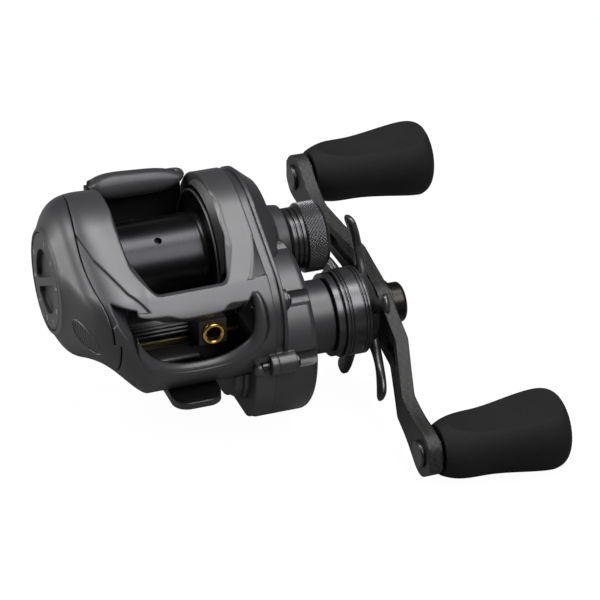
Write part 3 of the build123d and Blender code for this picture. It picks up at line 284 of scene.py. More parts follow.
# Oiled brass: olive, with one soft glint.
OLIVE_BRASS = Finish("oiled_brass_bar", "#6A6038", "#7E7242", 0.9, 0.34, Grain.TURNED, 0.1, 0.001, 0.1)
# Blackened steel on rivets and screws: dark, yet plainly metal.
DARK_RIVET = Finish("blackened_steel_rivet", "#3C3C3E", "#4C4C4E", 0.9, 0.3, Grain.TURNED, 0.1, 0.001, 0.15)
# Natural nylon: milky white and softly glossy.
NYLON = Finish("moulded_nylon_gear", "#C8C4B8", "#D4D0C4", 0.0, 0.5, Grain.MOULDED, 0.3, 0.003, 0.2)
# Dry woven carbon of the drag washers: grey-black squares without gloss.
CARBON_WASHER = Finish("woven_carbon_washer", "#202022", "#38383A", 0.0, 0.6, Grain.WEAVE, 0.8, 0.01, 0.1)
# Cut knurls in anodised aluminium: a lighter grey whose edges stay sharp, so that each diamond shows.
KNURLED_GREY = Finish("knurled_grey_cap", "#68686A", "#767678", 0.8, 0.34, Grain.TURNED, 0.2, 0.001, 0.02)
# Polished steel: a thin bright ring.
BRIGHT_STEEL = Finish("polished_steel_rim", "#C4C4C2", "#D6D6D4", 1.0, 0.18, Grain.TURNED, 0.1, 0.001, 0.05)
# Brushed aluminium where two castings meet: a dull grey gleam.
BRUSHED_EDGE = Finish("brushed_grey_edge", "#484849", "#565657", 0.7, 0.42, Grain.TURNED, 0.2, 0.001, 0.1)
# Dark plating on a pressed plate: each rib carries its own soft gleam.
PLATED_GREY = Finish("plated_grey_plate", "#4A4A4C", "#58585A", 0.6, 0.36, Grain.TURNED, 0.2, 0.001, 0.02)
# Brushed brass bar: a pale, soft gold line.
RAIL_BRASS = Finish("brushed_brass_rail", "#7C7048", "#8A7E54", 0.75, 0.42, Grain.TURNED, 0.1, 0.001, 0.05)
# Pad-printed ink: flat light grey.
PRINT_GREY = Finish("pad_printed_grey", "#9A9A9A", "#A8A8A8", 0.0, 0.6, Grain.MOULDED, 0.2, 0.001, 0.02)

NODE_FINISH = {
    FRAME_PAINT: ("frame",),
    COVER_PAINT: ("gear_cover", "palm_cover"),
    DIAL_BLACK: ("brake_dial",),
    SPOOL_BLACK: ("spool",),
    STAR_BLACK: ("star_drag",),
    ARM_CARBON: ("handle_arm",),
    FOAM: ("knob_front", "knob_rear"),
    CAP_GREY: ("tension_cap",),
    FOOT_BLACK: ("reel_foot",),
    THUMB_GREY: ("thumb_bar",),
    BLACK_PLASTIC: ("thumb_slide", "magnet_carrier", "clutch_yoke", "clutch_cam", "tension_pad", "line_guide",
                    "worm_tube"),
    NUT_BRONZE: ("handle_nut",),
    BRASS: ("pinion", "main_gear", "worm"),
    OLIVE_BRASS: ("guide_bar",),
    DARK_RIVET: ("knob_post_front", "knob_post_rear", "cover_screws_gear", "knob_washer_front", "knob_washer_rear"),
    GOLD: ("line_eye",),
    NYLON: ("guide_drive_gear", "worm_gear", "worm_bushing_palm", "worm_bushing_gear"),
    CARBON_WASHER: ("drag_washer_inner", "drag_washer_outer"),
}


def dress_nodes() -> None:
    """Give every node of the frame its finish; what is not listed is stainless steel."""
    chosen = {node: finish for finish, names in NODE_FINISH.items() for node in names}
    for name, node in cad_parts.items():
        node.data.materials.clear()
        node.data.materials.append(chosen.get(name, STEEL).build())
        LOG.info("dressed %s", name)


# ---------------------------------------------------------------- surfaces
def make_piece(name: str, shape: Mesh, finish: Finish, body: str, smooth: bool = True) -> bpy.types.Object:
    """Make one closed piece that rides a body.

    Args:
        name: the piece's name.
        shape: points in mm, one row each, and faces as lists of rows, turning outwards.
        finish: its finish.
        body: the body that it moves with.
        smooth: False leaves every face flat.
    Returns:
        The new object, at the origin with its place in the mesh.
    """
    points, faces = shape
    mesh = bpy.data.meshes.new(name)
    mesh.from_pydata((points * MM).tolist(), [], faces)
    if smooth:
        mesh.shade_smooth()
    mesh.materials.append(finish.build())
    piece = bpy.data.objects.new(name, mesh)
    bpy.context.scene.collection.objects.link(piece)
    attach(piece, body)
    LOG.info("piece %s: %d faces, rides %s", name, len(faces), body)
    return piece


def corners(node: str) -> tuple[np.ndarray, np.ndarray, np.ndarray]:
    """A node's box in mm.

    Args:
        node: its name in the frame.
    Returns:
        The lowest corner, the highest corner and the middle.
    """
    low, high = (np.array(corner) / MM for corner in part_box(node))
    return low, high, (low + high) / 2


def turns(count: int) -> np.ndarray:
    """Evenly spaced angles once round, without the last, which would meet the first."""
    return np.linspace(0, FULL_TURN, count, endpoint=False)


def zigzag(value: np.ndarray) -> np.ndarray:
    """Triangle wave from 0 at whole numbers to 1 halfway between them."""
    return 1 - np.abs(2 * (value % 1) - 1)


def squared(wave: np.ndarray, power: float) -> np.ndarray:
    """A sine or cosine swollen towards a square: its size to a power under 1, with its sign."""
    return np.sign(wave) * np.abs(wave) ** power


def walls(index: np.ndarray, ring: bool) -> list[list[int]]:
    """Four-cornered faces between the rows of a grid of points, each row closed on itself.

    Args:
        index: the points' numbers, rows by places round.
        ring: True also joins the last row to the first.
    Returns:
        Faces that turn outwards where the rows advance along X.
    """
    here, there = (index, np.roll(index, -1, 0)) if ring else (index[:-1], index[1:])
    return np.stack([here, np.roll(here, -1, 1), np.roll(there, -1, 1), there], -1).reshape(-1, 4).tolist()


def turned_grid(x: np.ndarray, radius: np.ndarray, centre: Pair, ring: bool) -> Mesh:
    """Surface round an axis along X: at each place x and angle a it is radius(x, a) from the axis.

    Args:
        x: places along the axis in mm, one for each row.
        radius: distance from the axis in mm, rows by angles.
        centre: y and z of the axis.
        ring: True joins the last row to the first; False closes both ends with a pole.
    Returns:
        Points in mm and faces.
    """
    rows, around = radius.shape
    angle = turns(around)
    y, z = centre[0] + radius * np.cos(angle), centre[1] + radius * np.sin(angle)
    points = np.stack([np.repeat(x[:, None], around, 1), y, z], -1).reshape(-1, 3)
    index = np.arange(rows * around).reshape(rows, around)
    faces = walls(index, ring)
    if not ring:
        poles = len(points) + np.arange(2)
        points = np.vstack([points, [(x[0], *centre), (x[-1], *centre)]])
        first, last = index[0], index[-1]
        faces += np.stack([np.full(around, poles[0]), np.roll(first, -1), first], -1).tolist()
        faces += np.stack([np.full(around, poles[1]), last, np.roll(last, -1)], -1).tolist()
    return points, faces


def turned(x: np.ndarray, radius: np.ndarray, around: int, centre: Pair, ring: bool) -> Mesh:
    """A profile turned round an axis along X: turned_grid with the same radius at every one of its angles."""
    return turned_grid(x, np.repeat(radius[:, None], around, 1), centre, ring)


def oval_ring(place: float, radius: float, half: Pair, axis: Pair, section: int, around: int) -> Mesh:
    """A ring of oval section round an axis along X: x and radius run once round the oval for every angle.

    Args:
        place: the oval's middle along X in mm.
        radius: its middle's distance from the axis in mm.
        half: half its width along X and half its height in mm.
        axis: y and z of the axis.
        section: number of points round the oval.
        around: number of angles round the axis.
    Returns:
        Points in mm and faces.
    """
    turn = turns(section)
    return turned(place - half[0] * np.cos(turn), radius + half[1] * np.sin(turn), around, axis, ring=True)


def skin(grid: np.ndarray) -> Mesh:
    """Close a grid of sections, rows by angles by xyz, turning outwards, with a pole at each end.

    Args:
        grid: points in mm.
    Returns:
        Points in mm and faces.
    """
    rows, around, _ = grid.shape
    _, faces = turned_grid(np.arange(rows, dtype=float), np.ones((rows, around)), (0.0, 0.0), ring=False)
    points = np.vstack([grid.reshape(-1, 3), grid[0].mean(0), grid[-1].mean(0)])
    return points, faces


def drawn(x: np.ndarray, scale: np.ndarray, section: np.ndarray, middle: np.ndarray) -> np.ndarray:
    """A section in the YZ plane drawn along X, and grown or shrunk about one place as it goes.

    Args:
        x: places along X in mm.
        scale: size of the section at each place.
        section: its outline in mm, points by yz.
        middle: y and z of the place that stays.
    Returns:
        Grid of sections, places by points by xyz.
    """
    flat = middle + scale[:, None, None] * (section - middle)
    return np.concatenate([np.broadcast_to(x[:, None, None], (*flat.shape[:2], 1)), flat], -1)


def laid_along_y(shape: Mesh, place: np.ndarray) -> Mesh:
    """A turned piece with x and y swapped, set at a place in mm, with its faces turned back outwards."""
    points, faces = shape
    return place + points[:, [1, 0, 2]], [face[::-1] for face in faces]


# ---------------------------------------------------------------- fine pieces
@dataclass
class Knurling:
    """Diamond knurling on the rim of the tension cap, coarser than the real one so that it shows."""

    centre: Pair = (0.0, 19.5)
    left: float = 33.5
    right: float = 37.5
    radius: float = 7.66
    depth: float = 0.36
    diamonds: int = 62
    steps: int = 4
    sunk: float = 0.4
    lead: float = 0.1

    def build(self) -> None:
        """Two families of V grooves cross at equal and opposite slants; a point stands as high as the
        shallower groove there leaves it, and both edges of the band sink under the cap."""
        pitch = FULL_TURN * self.radius / self.diamonds
        x = np.arange(self.left, self.right, pitch / self.steps)
        turn = np.linspace(0, self.diamonds, self.steps * self.diamonds, endpoint=False)
        slant = (x[:, None] - self.left) / pitch
        height = np.minimum(zigzag(turn + slant), zigzag(turn - slant))
        radius = self.radius + self.depth * height
        edge = np.full((1, radius.shape[1]), self.radius - self.sunk)
        x = np.concatenate([x[:1] - self.lead, x, x[-1:] + self.lead])
        radius = np.concatenate([edge, radius, edge])
        band = turned_grid(x, radius, self.centre, ring=True)
        make_piece("tension_cap_knurling", band, KNURLED_GREY, "tension_cap_body", smooth=False)


@dataclass
class LevelWindWorm:
    """The worm with its two crossing grooves, in place of the plain barrel."""

    pitch: float = 4.4
    groove_width: float = 0.9
    groove_depth: float = 0.55
    journal: float = 1.1
    left_journal: float = 2.0
    right_journal: float = 7.4
    shoulder: float = 0.01
    step: float = 0.14
    around: int = 72

    def build(self) -> None:
        """A barrel between two journals; on the barrel the radius drops by a cosine hollow wherever the
        distance along the axis to a right-hand or a left-hand helix is under half a groove."""
        low, high, middle = corners("worm")
        barrel = (high[2] - low[2]) / 2
        first, last = low[0] + self.left_journal, high[0] - self.right_journal
        x = np.concatenate([[low[0], first - self.shoulder], np.arange(first, last, self.step),
                            [last + self.shoulder, high[0]]])
        share = np.linspace(0, 1, self.around, endpoint=False)
        along = (x[:, None] - first) / self.pitch
        near = np.minimum(zigzag(along + share), zigzag(along - share)) * self.pitch / 2
        hollow = np.where(near < self.groove_width / 2, np.cos(near * math.pi / self.groove_width), 0)
        radius = barrel - self.groove_depth * hollow
        radius[:2], radius[-2:] = self.journal, self.journal
        shape = turned_grid(x, radius, tuple(middle[1:]), ring=False)
        worm = make_piece("level_wind_worm", shape, OLIVE_BRASS, "worm_body")
        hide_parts("worm")


@dataclass
class GuardTube:
    """The fluted guard tube round the worm, open towards the lower front, and the brass rail in its slot.

    Angles are in degrees from the front, upwards.
    """

    bore: float = 2.05
    flutes: int = 18
    flute_depth: float = 0.34
    flute_power: float = 0.7
    opening: Pair = (-65.0, -2.0)
    count: int = 180
    stations: Pair = (-4.0, 4.0)
    rail_angle: float = -42.0
    rail_distance: float = 2.17
    rail_radius: float = 0.42
    rail_inset: float = 0.1
    rail_end: float = 0.8
    rail_around: int = 32

    def tube(self, low: np.ndarray, high: np.ndarray, middle: np.ndarray) -> None:
        """The section is an outer arc that dips by a rectified sine at every flute, and an inner arc back, drawn
        along X and closed at both ends by faces from one arc to the other.

        Args:
            low: lowest corner of the tube's box in mm.
            high: highest corner.
            middle: its middle.
        """
        outer = (high[2] - low[2]) / 2
        turn = np.radians(np.linspace(360.0 + self.opening[0], self.opening[1], self.count))
        dip = self.flute_depth * (1 - np.abs(np.sin(turn * self.flutes / 2)) ** self.flute_power)
        there_and_back = np.concatenate([turn, turn[::-1]])
        radius = np.concatenate([outer - dip, np.full(self.count, self.bore)])
        section = np.stack([middle[1] - radius * np.cos(there_and_back),
                            middle[2] + radius * np.sin(there_and_back)], -1)
        x = np.array((low[0], *self.stations, high[0]))
        points = drawn(x, np.ones(len(x)), section, np.zeros(2)).reshape(-1, 3)
        around = len(section)
        index = np.arange(len(points)).reshape(len(x), around)
        step = np.arange(self.count - 1)
        cap = np.stack([step + 1, step, around - 1 - step, around - 2 - step], -1)
        faces = walls(index, ring=False) + cap.tolist() + (cap[:, ::-1] + index[-1, 0]).tolist()
        tube = make_piece("level_wind_guard", (points, faces), BLACK_PLASTIC, "frame_body")
        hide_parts("worm_tube")

    def build(self) -> None:
        """Build the tube and, within its slot, a round rail with broken edges."""
        low, high, middle = corners("worm_tube")
        self.tube(low, high, middle)
        angle = math.radians(self.rail_angle)
        centre = (middle[1] - self.rail_distance * math.cos(angle), middle[2] + self.rail_distance * math.sin(angle))
        inset = self.rail_inset
        x = np.array((low[0] + inset, low[0] + 2 * inset, high[0] - 2 * inset, high[0] - inset))
        radius = np.array((self.rail_end, 1.0, 1.0, self.rail_end)) * self.rail_radius
        make_piece("level_wind_rail", turned(x, radius, self.rail_around, centre, ring=False), RAIL_BRASS, "frame_body")


@dataclass
class YokeSprings:
    """The clutch yoke's two return springs."""

    coils: int = 4
    radius: float = 1.25
    wire: float = 0.18
    travel: float = 1.85
    steps: int = 60
    around: int = 12

    def build(self) -> None:
        """Each spring is a round wire swept along a helix about its post. The posts stand at opposite corners of
        the node's box."""
        low, high, _ = corners("yoke_springs")
        share = np.linspace(0, 1, self.steps * self.coils)
        angle = FULL_TURN * self.coils * share
        x = low[0] + self.wire + (high[0] - low[0] - 2 * self.wire) * share
        outward = np.stack([np.zeros_like(angle), np.cos(angle), np.sin(angle)], -1)
        helix = np.column_stack([x, self.radius * outward[:, 1:]])
        ahead = np.gradient(helix, axis=0)
        ahead /= np.linalg.norm(ahead, axis=1, keepdims=True)
        upright = np.cross(ahead, outward)
        turn = turns(self.around)[None, :, None]
        wire = self.wire * (np.cos(turn) * outward[:, None] + np.sin(turn) * upright[:, None])
        inset = self.radius + self.wire
        posts = ((high[1] - inset, low[2] + inset), (low[1] + inset, high[2] - inset))
        shapes = [skin(helix[:, None] + wire + np.array((0.0, *post))) for post in posts]
        points = np.vstack([shape[0] for shape in shapes])
        faces = [[corner + place * len(shape[0]) for corner in face]
                 for place, shape in enumerate(shapes) for face in shape[1]]
        springs = make_piece("yoke_return_springs", (points, faces), STEEL, "frame_body")
        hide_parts("yoke_springs")
        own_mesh(springs)


@dataclass
class RivetRims:
    """Bright turned rims on the heads of the two knob posts."""

    radius: float = 2.15
    tube: float = 0.22
    flatness: float = 0.6
    section: int = 12
    around: int = 72

    def build(self) -> None:
        """One ring of oval section for each head, its outer side level with the head."""
        half = (self.tube * self.flatness, self.tube)
        for name in ("front", "rear"):
            low, _, middle = corners(f"knob_post_{name}")
            rim = oval_ring(low[0] + half[0], self.radius, half, tuple(middle[1:]), self.section, self.around)
            make_piece(f"rivet_rim_{name}", rim, BRIGHT_STEEL, "crank_body")


@dataclass
class DialFigures:
    """Plain figures printed round the rim of the brake dial, with one place of ten left free."""

    figures: str = "123456789"
    places: int = 10
    size: float = 2.0
    ring: float = 9.0
    half_thickness: float = 0.05
    rise: float = 0.02

    def flat(self, figure: str) -> bpy.types.Mesh:
        """One figure in the XY plane, about its own middle.

        Args:
            figure: the character.
        Returns:
            Its mesh in mm.
        """
        curve = bpy.data.curves.new("figure", "FONT")
        curve.body, curve.size, curve.extrude = figure, self.size, self.half_thickness
        curve.align_x, curve.align_y = "CENTER", "CENTER"
        source = bpy.data.objects.new("figure", curve)
        bpy.context.scene.collection.objects.link(source)
        bpy.context.view_layer.update()
        mesh = bpy.data.meshes.new_from_object(source.evaluated_get(bpy.context.evaluated_depsgraph_get()))
        bpy.data.objects.remove(source)
        return mesh

    def build(self) -> None:
        """Each figure is made flat, then laid on the dial's face with its top outwards, a tenth of a turn on."""
        low, _, middle = corners("brake_dial")
        for place, figure in enumerate(self.figures):
            mesh = self.flat(figure)
            points = np.array([v.co for v in mesh.vertices])
            faces = [list(p.vertices) for p in mesh.polygons]
            angle = FULL_TURN * place / self.places + math.pi / 2
            out, side = np.array([np.cos(angle), np.sin(angle)]), np.array([-np.sin(angle), np.cos(angle)])
            spread = middle[1:] + (self.ring + points[:, 1:2]) * out + points[:, 0:1] * side
            depth = low[0] - self.rise + self.half_thickness - points[:, 2]
            laid = np.column_stack([depth, spread])
            make_piece(f"dial_figure_{figure}", (laid, faces), PRINT_GREY, "brake_dial_body")


@dataclass
class ThumbRest:
    """The thumb bar as it is moulded: a rounded saddle with full ends, in place of the plain bar."""

    left: float = -11.2
    right: float = 10.9
    middle_y: float = 13.3
    half_depth: float = 3.1
    lean: float = 0.36
    droop: float = 0.36
    sole: float = 30.8
    sole_rise: float = 2.2
    sole_rise_right: float = 0.9
    crown: float = 36.6
    crown_tilt: float = 0.7
    crown_fall: float = 2.0
    squareness: float = 0.8
    end_power: int = 12
    rows: int = 72
    around: int = 64

    def build(self) -> None:
        """Sections across X are squared ovals between a sole and a crown. The sole rises with the sixth power of
        the distance from the middle, and on the right with its cube too; the crown falls with the fourth. The
        oval leans back with height, its top falls to the rear, and both ends close over a quarter round."""
        share = np.sin(np.linspace(-math.pi / 2, math.pi / 2, self.rows)[1:-1])[:, None]
        x = (self.left + self.right) / 2 + share * (self.right - self.left) / 2
        sole = self.sole + self.sole_rise * share**6 + self.sole_rise_right * np.maximum(share, 0) ** 3
        crown = self.crown - self.crown_tilt * share - self.crown_fall * share**4
        closing = (1 - share**self.end_power) ** 0.5
        turn = turns(self.around)[None, :]
        across, rise = (squared(wave, self.squareness) for wave in (np.cos(turn), np.sin(turn)))
        height = rise * (crown - sole) / 2 * closing
        y = self.middle_y + self.lean * height + across * self.half_depth * closing
        z = (crown + sole) / 2 + height - self.droop * (across + 1) * self.half_depth * np.maximum(rise, 0)
        shape = skin(np.stack([np.broadcast_to(x, y.shape), y, z], -1))
        rest = make_piece("thumb_rest", shape, THUMB_GREY, "thumb_bar_body")
        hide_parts("thumb_bar")


@dataclass
class StarDrag:
    """The star drag with grooved sleeve and five leaf-shaped blades, in place of the plain star.

    The sleeve's profile is in mm: the way from its reel end, and the depth under its rim.
    """

    rim: float = 9.9
    collar: tuple[Pair, ...] = ((0, 4.1), (0, 0.5), (1.5, 0.5), (1.5, 1.1), (1.9, 1.1), (1.9, 0))
    grooves: tuple[float, ...] = (2.5, 3.2, 6.2, 6.9)
    groove: float = 0.3
    nose: tuple[Pair, ...] = ((7.6, 0), (8.3, 0.8), (9.6, 1.6), (10.4, 2.8), (10.4, 7.6), (7.4, 7.6), (7.0, 4.3))
    sleeve_around: int = 128
    reach: float = 22.0
    root: float = 6.8
    blades: int = 5
    first: float = 76.0
    root_width: float = 2.1
    tip_widening: float = 0.15
    waist: float = 1.4
    waist_run: float = 1.15
    root_thickness: float = 1.1
    tip_thinning: float = 0.2
    tip: float = 0.12
    tip_least: float = 0.02
    set_back: float = 1.2
    lean: float = 2.0
    bow: float = 0.25
    squareness: float = 0.75
    rows: int = 48
    around: int = 32

    def sleeve(self, left: float, axis: Pair) -> None:
        """A profile of collar, grooves and rounded nose, turned round the shaft.

        Args:
            left: x of the reel end in mm.
            axis: y and z of the shaft.
        """
        steps, cut = list(self.collar), self.groove
        for place in self.grooves:
            steps += [(place, 0), (place, cut), (place + cut, cut), (place + cut, 0)]
        profile = np.array(steps + list(self.nose))
        shape = turned(left + profile[:, 0], self.rim - profile[:, 1], self.sleeve_around, axis, ring=True)
        sleeve = make_piece("star_sleeve", shape, STAR_BLACK, "star_body", smooth=False)
        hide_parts("star_drag")

    def build(self) -> None:
        """Build the sleeve, then the blades. A blade runs outwards along a bowed line that leans back to the reel;
        its section is a squared oval, narrow at the waist, broad and round at the tip."""
        low, high, _ = corners("star_drag")
        axis = tuple(corners("handle_nut")[2][1:])
        self.sleeve(low[0], axis)
        share = np.linspace(0, 1, self.rows)[:-1, None]
        out = self.root + share * (self.reach - self.root)
        tip = np.clip((share - (1 - self.tip)) / self.tip, 0, 1)
        round_end = np.sqrt(1 - tip**2)
        waist = self.waist * np.sin(math.pi * np.clip(share * self.waist_run, 0, 1)) ** 2
        width = (self.root_width - waist + self.tip_widening * share) * round_end
        thick = (self.root_thickness - self.tip_thinning * share) * np.maximum(round_end, self.tip_least)
        line = high[0] - self.set_back - self.lean * share**2 + self.bow * np.sin(math.pi * share)
        turn = turns(self.around)[None, :]
        side, face = (squared(wave, self.squareness) for wave in (np.cos(turn), np.sin(turn)))
        across, x = side * width, line + face * thick
        for blade in range(self.blades):
            angle = math.radians(self.first + 360 * blade / self.blades)
            y = axis[0] + out * math.cos(angle) - across * math.sin(angle)
            z = axis[1] + out * math.sin(angle) + across * math.cos(angle)
            make_piece(f"star_blade_{blade + 1}", skin(np.stack([x, y, z], -1)), STAR_BLACK, "star_body")


@dataclass
class OpeningRim:
    """The flared rim of the line opening: it rolls over the edge and runs into the hollow.

    knots are x and z of places that its line runs through, counted from 0 and round again; start and end are
    places on that count. The section's points lie at out, away from the line, and under, below the surface.
    The nose's surface is a circle about an axis along X, given as y, z and radius, at its gear side; from
    nose_from on, over nose_run, it changes by nose_change towards the palm side.
    """

    knots: tuple[Pair, ...] = ((-13.6, 22.4), (-11.2, 22.9), (-6.8, 20.9), (0.0, 20.0), (6.5, 20.4), (10.6, 21.9),
                               (13.0, 23.6), (13.5, 20.0), (12.7, 14.9), (9.6, 11.9), (4.5, 9.9), (-2.5, 9.8),
                               (-7.5, 11.2), (-11.2, 13.8), (-13.0, 17.4))
    start: float = 5.0
    end: float = 14.4
    taper: float = 1.3
    rows: int = 240
    out: tuple[float, ...] = (1.25, 1.05, 0.8, 0.45, 0.1, -0.2, -0.42, -0.52, -0.45, 0.3, 1.1)
    under: tuple[float, ...] = (0.5, 0.04, -0.05, 0.02, 0.3, 0.75, 1.3, 1.9, 2.4, 2.6, 1.6)
    least_flare: float = 0.1
    low_flare: float = 0.9
    flare_top: float = 24.0
    flare_run: float = 14.0
    sunk: float = 0.6
    nose: Triple = (-17.0, 14.5, 14.5)
    nose_change: Triple = (-2.5, 2.7, -3.9)
    nose_from: float = -11.0
    nose_run: float = 6.0

    def line(self, place: np.ndarray) -> np.ndarray:
        """The smooth line through the knots: between two knots, the cubic whose slopes at both are half the way
        from the knot before to the knot after.

        Args:
            place: places counted in knots.
        Returns:
            x and z of each place in mm.
        """
        knots = np.array(self.knots)
        first, t = place.astype(int), (place % 1)[:, None]
        a, b, c, d = (knots[(first + k) % len(knots)] for k in (-1, 0, 1, 2))
        return b + 0.5 * t * (c - a + t * (2 * a - 5 * b + 4 * c - d + t * (3 * (b - c) + d - a)))

    def build(self) -> None:
        """The line carries one section that grows out of the wall and sinks into it again, and that flares more
        the lower it lies. Each point lies some way off the line and some way under the nose's surface."""
        place = np.linspace(self.start, self.end, self.rows)
        line = self.line(place)
        ahead = np.gradient(line, axis=0)
        ahead /= np.linalg.norm(ahead, axis=1, keepdims=True)
        outward = np.column_stack([-ahead[:, 1], ahead[:, 0]])
        share = np.clip(np.minimum(place - self.start, self.end - place) / self.taper, 0, 1)
        grown = share * share * (3 - 2 * share)
        lowness = np.clip((self.flare_top - line[:, 1]) / self.flare_run, 0, 1)
        flare = (1.0 + self.low_flare * lowness) * (self.least_flare + (1 - self.least_flare) * grown)
        ring = line[:, None, :] + outward[:, None, :] * (flare[:, None] * np.array(self.out))[..., None]
        x, z = ring[..., 0], ring[..., 1]
        side = np.clip((self.nose_from - x) / self.nose_run, 0, 1)
        axis_y, axis_z, radius = (at + change * side for at, change in zip(self.nose, self.nose_change))
        sunk = np.array(self.under) * grown[:, None] + self.sunk * (1 - grown[:, None])
        y = axis_y - np.sqrt(np.maximum(radius**2 - (z - axis_z) ** 2, 1.0)) + sunk
        make_piece("line_opening_rim", skin(np.stack([x, y, z], -1)), FRAME_PAINT, "frame_body")


@dataclass
class HoodFlank:
    """The shaded facet that falls from the hood to the gear-side plate.

    The slope is a direction from the corner, and span the way along it to the first and the last section. swing
    gives the left edge as a parabola of the way past swing_from. Each point of the section is given by its share
    of the width and mm beside it, and its share of the drop and mm above it.
    """

    corner: Triple = (0.0, -21.65, 27.95)
    slope: Triple = (0.0, -0.87, -0.49)
    span: Pair = (-6.4, 4.3)
    sections: int = 44
    edge: float = 16.97
    swing: Triple = (16.6, -0.182, -0.0187)
    swing_from: float = -5.4
    left_limit: float = 16.75
    drop: float = 0.53
    section: tuple[tuple[float, float, float, float], ...] = (
        (1, 0, 0, -0.6), (1, 0, 0, -0.05), (0.96, 0, 0, 0.02), (0.5, 0, 0.5, 0), (0.12, 0, 0.9, 0),
        (0, -0.1, 1, 0), (0, -0.4, 1, -0.02), (0, -0.8, 1, -0.15), (0, -0.8, 0, -0.6))

    def build(self) -> None:
        """Down the slope, the section's left edge swings away from the plate along a parabola. The section is
        level with the hood there and falls in a straight line to the plate."""
        run = np.linspace(*self.span, self.sections)
        past = run - self.swing_from
        left = np.minimum(self.swing[0] + self.swing[1] * past + self.swing[2] * past**2, self.left_limit)[:, None]
        across, beside, down, above = np.array(self.section).T
        x = left + (self.edge - left) * across + beside
        lift = self.drop * down + above
        slope = np.array(self.slope)
        normal = np.array((0.0, slope[2], -slope[1]))
        grid = (np.array(self.corner) + run[:, None, None] * slope + lift[:, None] * normal
                + x[..., None] * np.array((1.0, 0.0, 0.0)))
        make_piece("hood_flank", skin(grid), FRAME_PAINT, "frame_body", smooth=False)


@dataclass
class ArchLiner:
    """The brushed crescent inside the gear-side arch and the bright lips of the spool's flanges.

    Angles are in degrees from the top, forwards; wall and back are the crescent's places along X.
    """

    span: Pair = (-24.0, 78.0)
    radius: float = 15.9
    width: float = 2.2
    least: float = 0.15
    slant: float = 0.43
    wall: float = 9.95
    back: float = 12.0
    count: int = 90
    lip_radius: float = 14.72
    lip_places: tuple[tuple[str, float], ...] = (("palm", -11.2), ("gear", 9.75))
    lip_half: Pair = (0.3, 0.26)
    lip_section: int = 12
    lip_around: int = 120

    def build(self) -> None:
        """Along an arc about the spool axis a four-cornered section widens as the root of a sine and closes
        again. The lips are rings of oval section."""
        axis = tuple(corners("spool")[2][1:])
        share = np.linspace(0.0, 1.0, self.count)
        turn = np.radians(self.span[0] + (self.span[1] - self.span[0]) * share)
        wide = self.least + self.width * np.sqrt(np.sin(math.pi * share))
        zero = np.zeros(self.count)
        x = np.stack([zero + self.back, zero + self.back, self.wall + self.slant * wide, zero + self.wall], -1)
        radius = self.radius + np.stack([zero, wide, wide, zero], -1)
        grid = np.stack([x, axis[0] - radius * np.sin(turn)[:, None], axis[1] + radius * np.cos(turn)[:, None]], -1)
        make_piece("arch_liner", skin(grid), BRUSHED_EDGE, "frame_body", smooth=False)
        for name, place in self.lip_places:
            lip = oval_ring(place, self.lip_radius, self.lip_half, axis, self.lip_section, self.lip_around)
            make_piece(f"spool_lip_{name}", lip, BRUSHED_EDGE, "spool_body")


@dataclass
class SlideLip:
    """The rounded lower lip of the thumb bar's slide, behind the spool."""

    middle: Pair = (15.85, 22.25)
    half: Pair = (0.75, 0.85)
    squareness: float = 0.6
    places: tuple[float, ...] = (-10.3, -10.2, 0.0, 9.9, 10.0)
    end: float = 0.88
    around: int = 32

    def build(self) -> None:
        """A squared oval drawn along X and closed at both ends."""
        turn = turns(self.around)
        section = np.stack([self.middle[0] + self.half[0] * squared(np.cos(turn), self.squareness),
                            self.middle[1] + self.half[1] * squared(np.sin(turn), self.squareness)], -1)
        scale = np.array((self.end, 1.0, 1.0, 1.0, self.end))
        grid = drawn(np.array(self.places), scale, section, np.array(self.middle))
        make_piece("thumb_slide_lip", skin(grid), THUMB_GREY, "thumb_bar_body")


@dataclass
class OvalPlate:
    """A plain ribbed oval plate with a raised rim, let into the palm-side cover.

    size and lift give the rim's section as shares of the reach and heights in mm; field gives the size of the
    first and the last ring within it. The sheet under them follows the cover by its level, tilt, bend and twist.
    """

    centre: Triple = (-22.2, -21.3, 16.6)
    along: Triple = (0.39, -0.81, -0.43)
    facing: Triple = (-0.91, -0.39, -0.10)
    reach: Pair = (5.2, 2.7)
    size: tuple[float, ...] = (1.02, 1.02, 1.0, 0.97, 0.94, 0.91, 0.9)
    lift: tuple[float, ...] = (-1.0, -0.1, 0.12, 0.25, 0.22, 0.1, 0.04)
    field: Pair = (0.88, 0.02)
    field_lift: float = 0.02
    rings: int = 44
    around: int = 160
    rib: float = 1.0
    rib_slant: float = 0.5
    rib_height: float = 0.09
    ribs_within: float = 0.87
    sheet: tuple[float, ...] = (0.2, 0.05, -0.021, 0.016)

    def build(self) -> None:
        """Ovals shrink from the rim to the middle. Each point lies on a gently bowed sheet, lifted by the rim's
        rounded ridge or by a small wave across the plate."""
        along, facing = (np.array(v) / np.linalg.norm(v) for v in (self.along, self.facing))
        facing = facing - along * (facing @ along)
        facing /= np.linalg.norm(facing)
        size = np.concatenate([self.size, np.linspace(*self.field, self.rings)])[:, None]
        lift = np.concatenate([self.lift, np.full(self.rings, self.field_lift)])[:, None]
        turn = turns(self.around)
        u, v = self.reach[0] * size * np.cos(turn), self.reach[1] * size * np.sin(turn)
        wave = self.rib_height * np.cos(FULL_TURN * (u + self.rib_slant * v) / self.rib)
        level, tilt, bend, twist = self.sheet
        w = level + tilt * v + bend * (u * u + v * v) + twist * u * v + lift
        w = w + np.where(size < self.ribs_within, wave, 0.0)
        grid = (np.array(self.centre) + u[..., None] * along + v[..., None] * np.cross(facing, along)
                + w[..., None] * facing)
        make_piece("palm_oval_plate", skin(grid), PLATED_GREY, "palm_side")


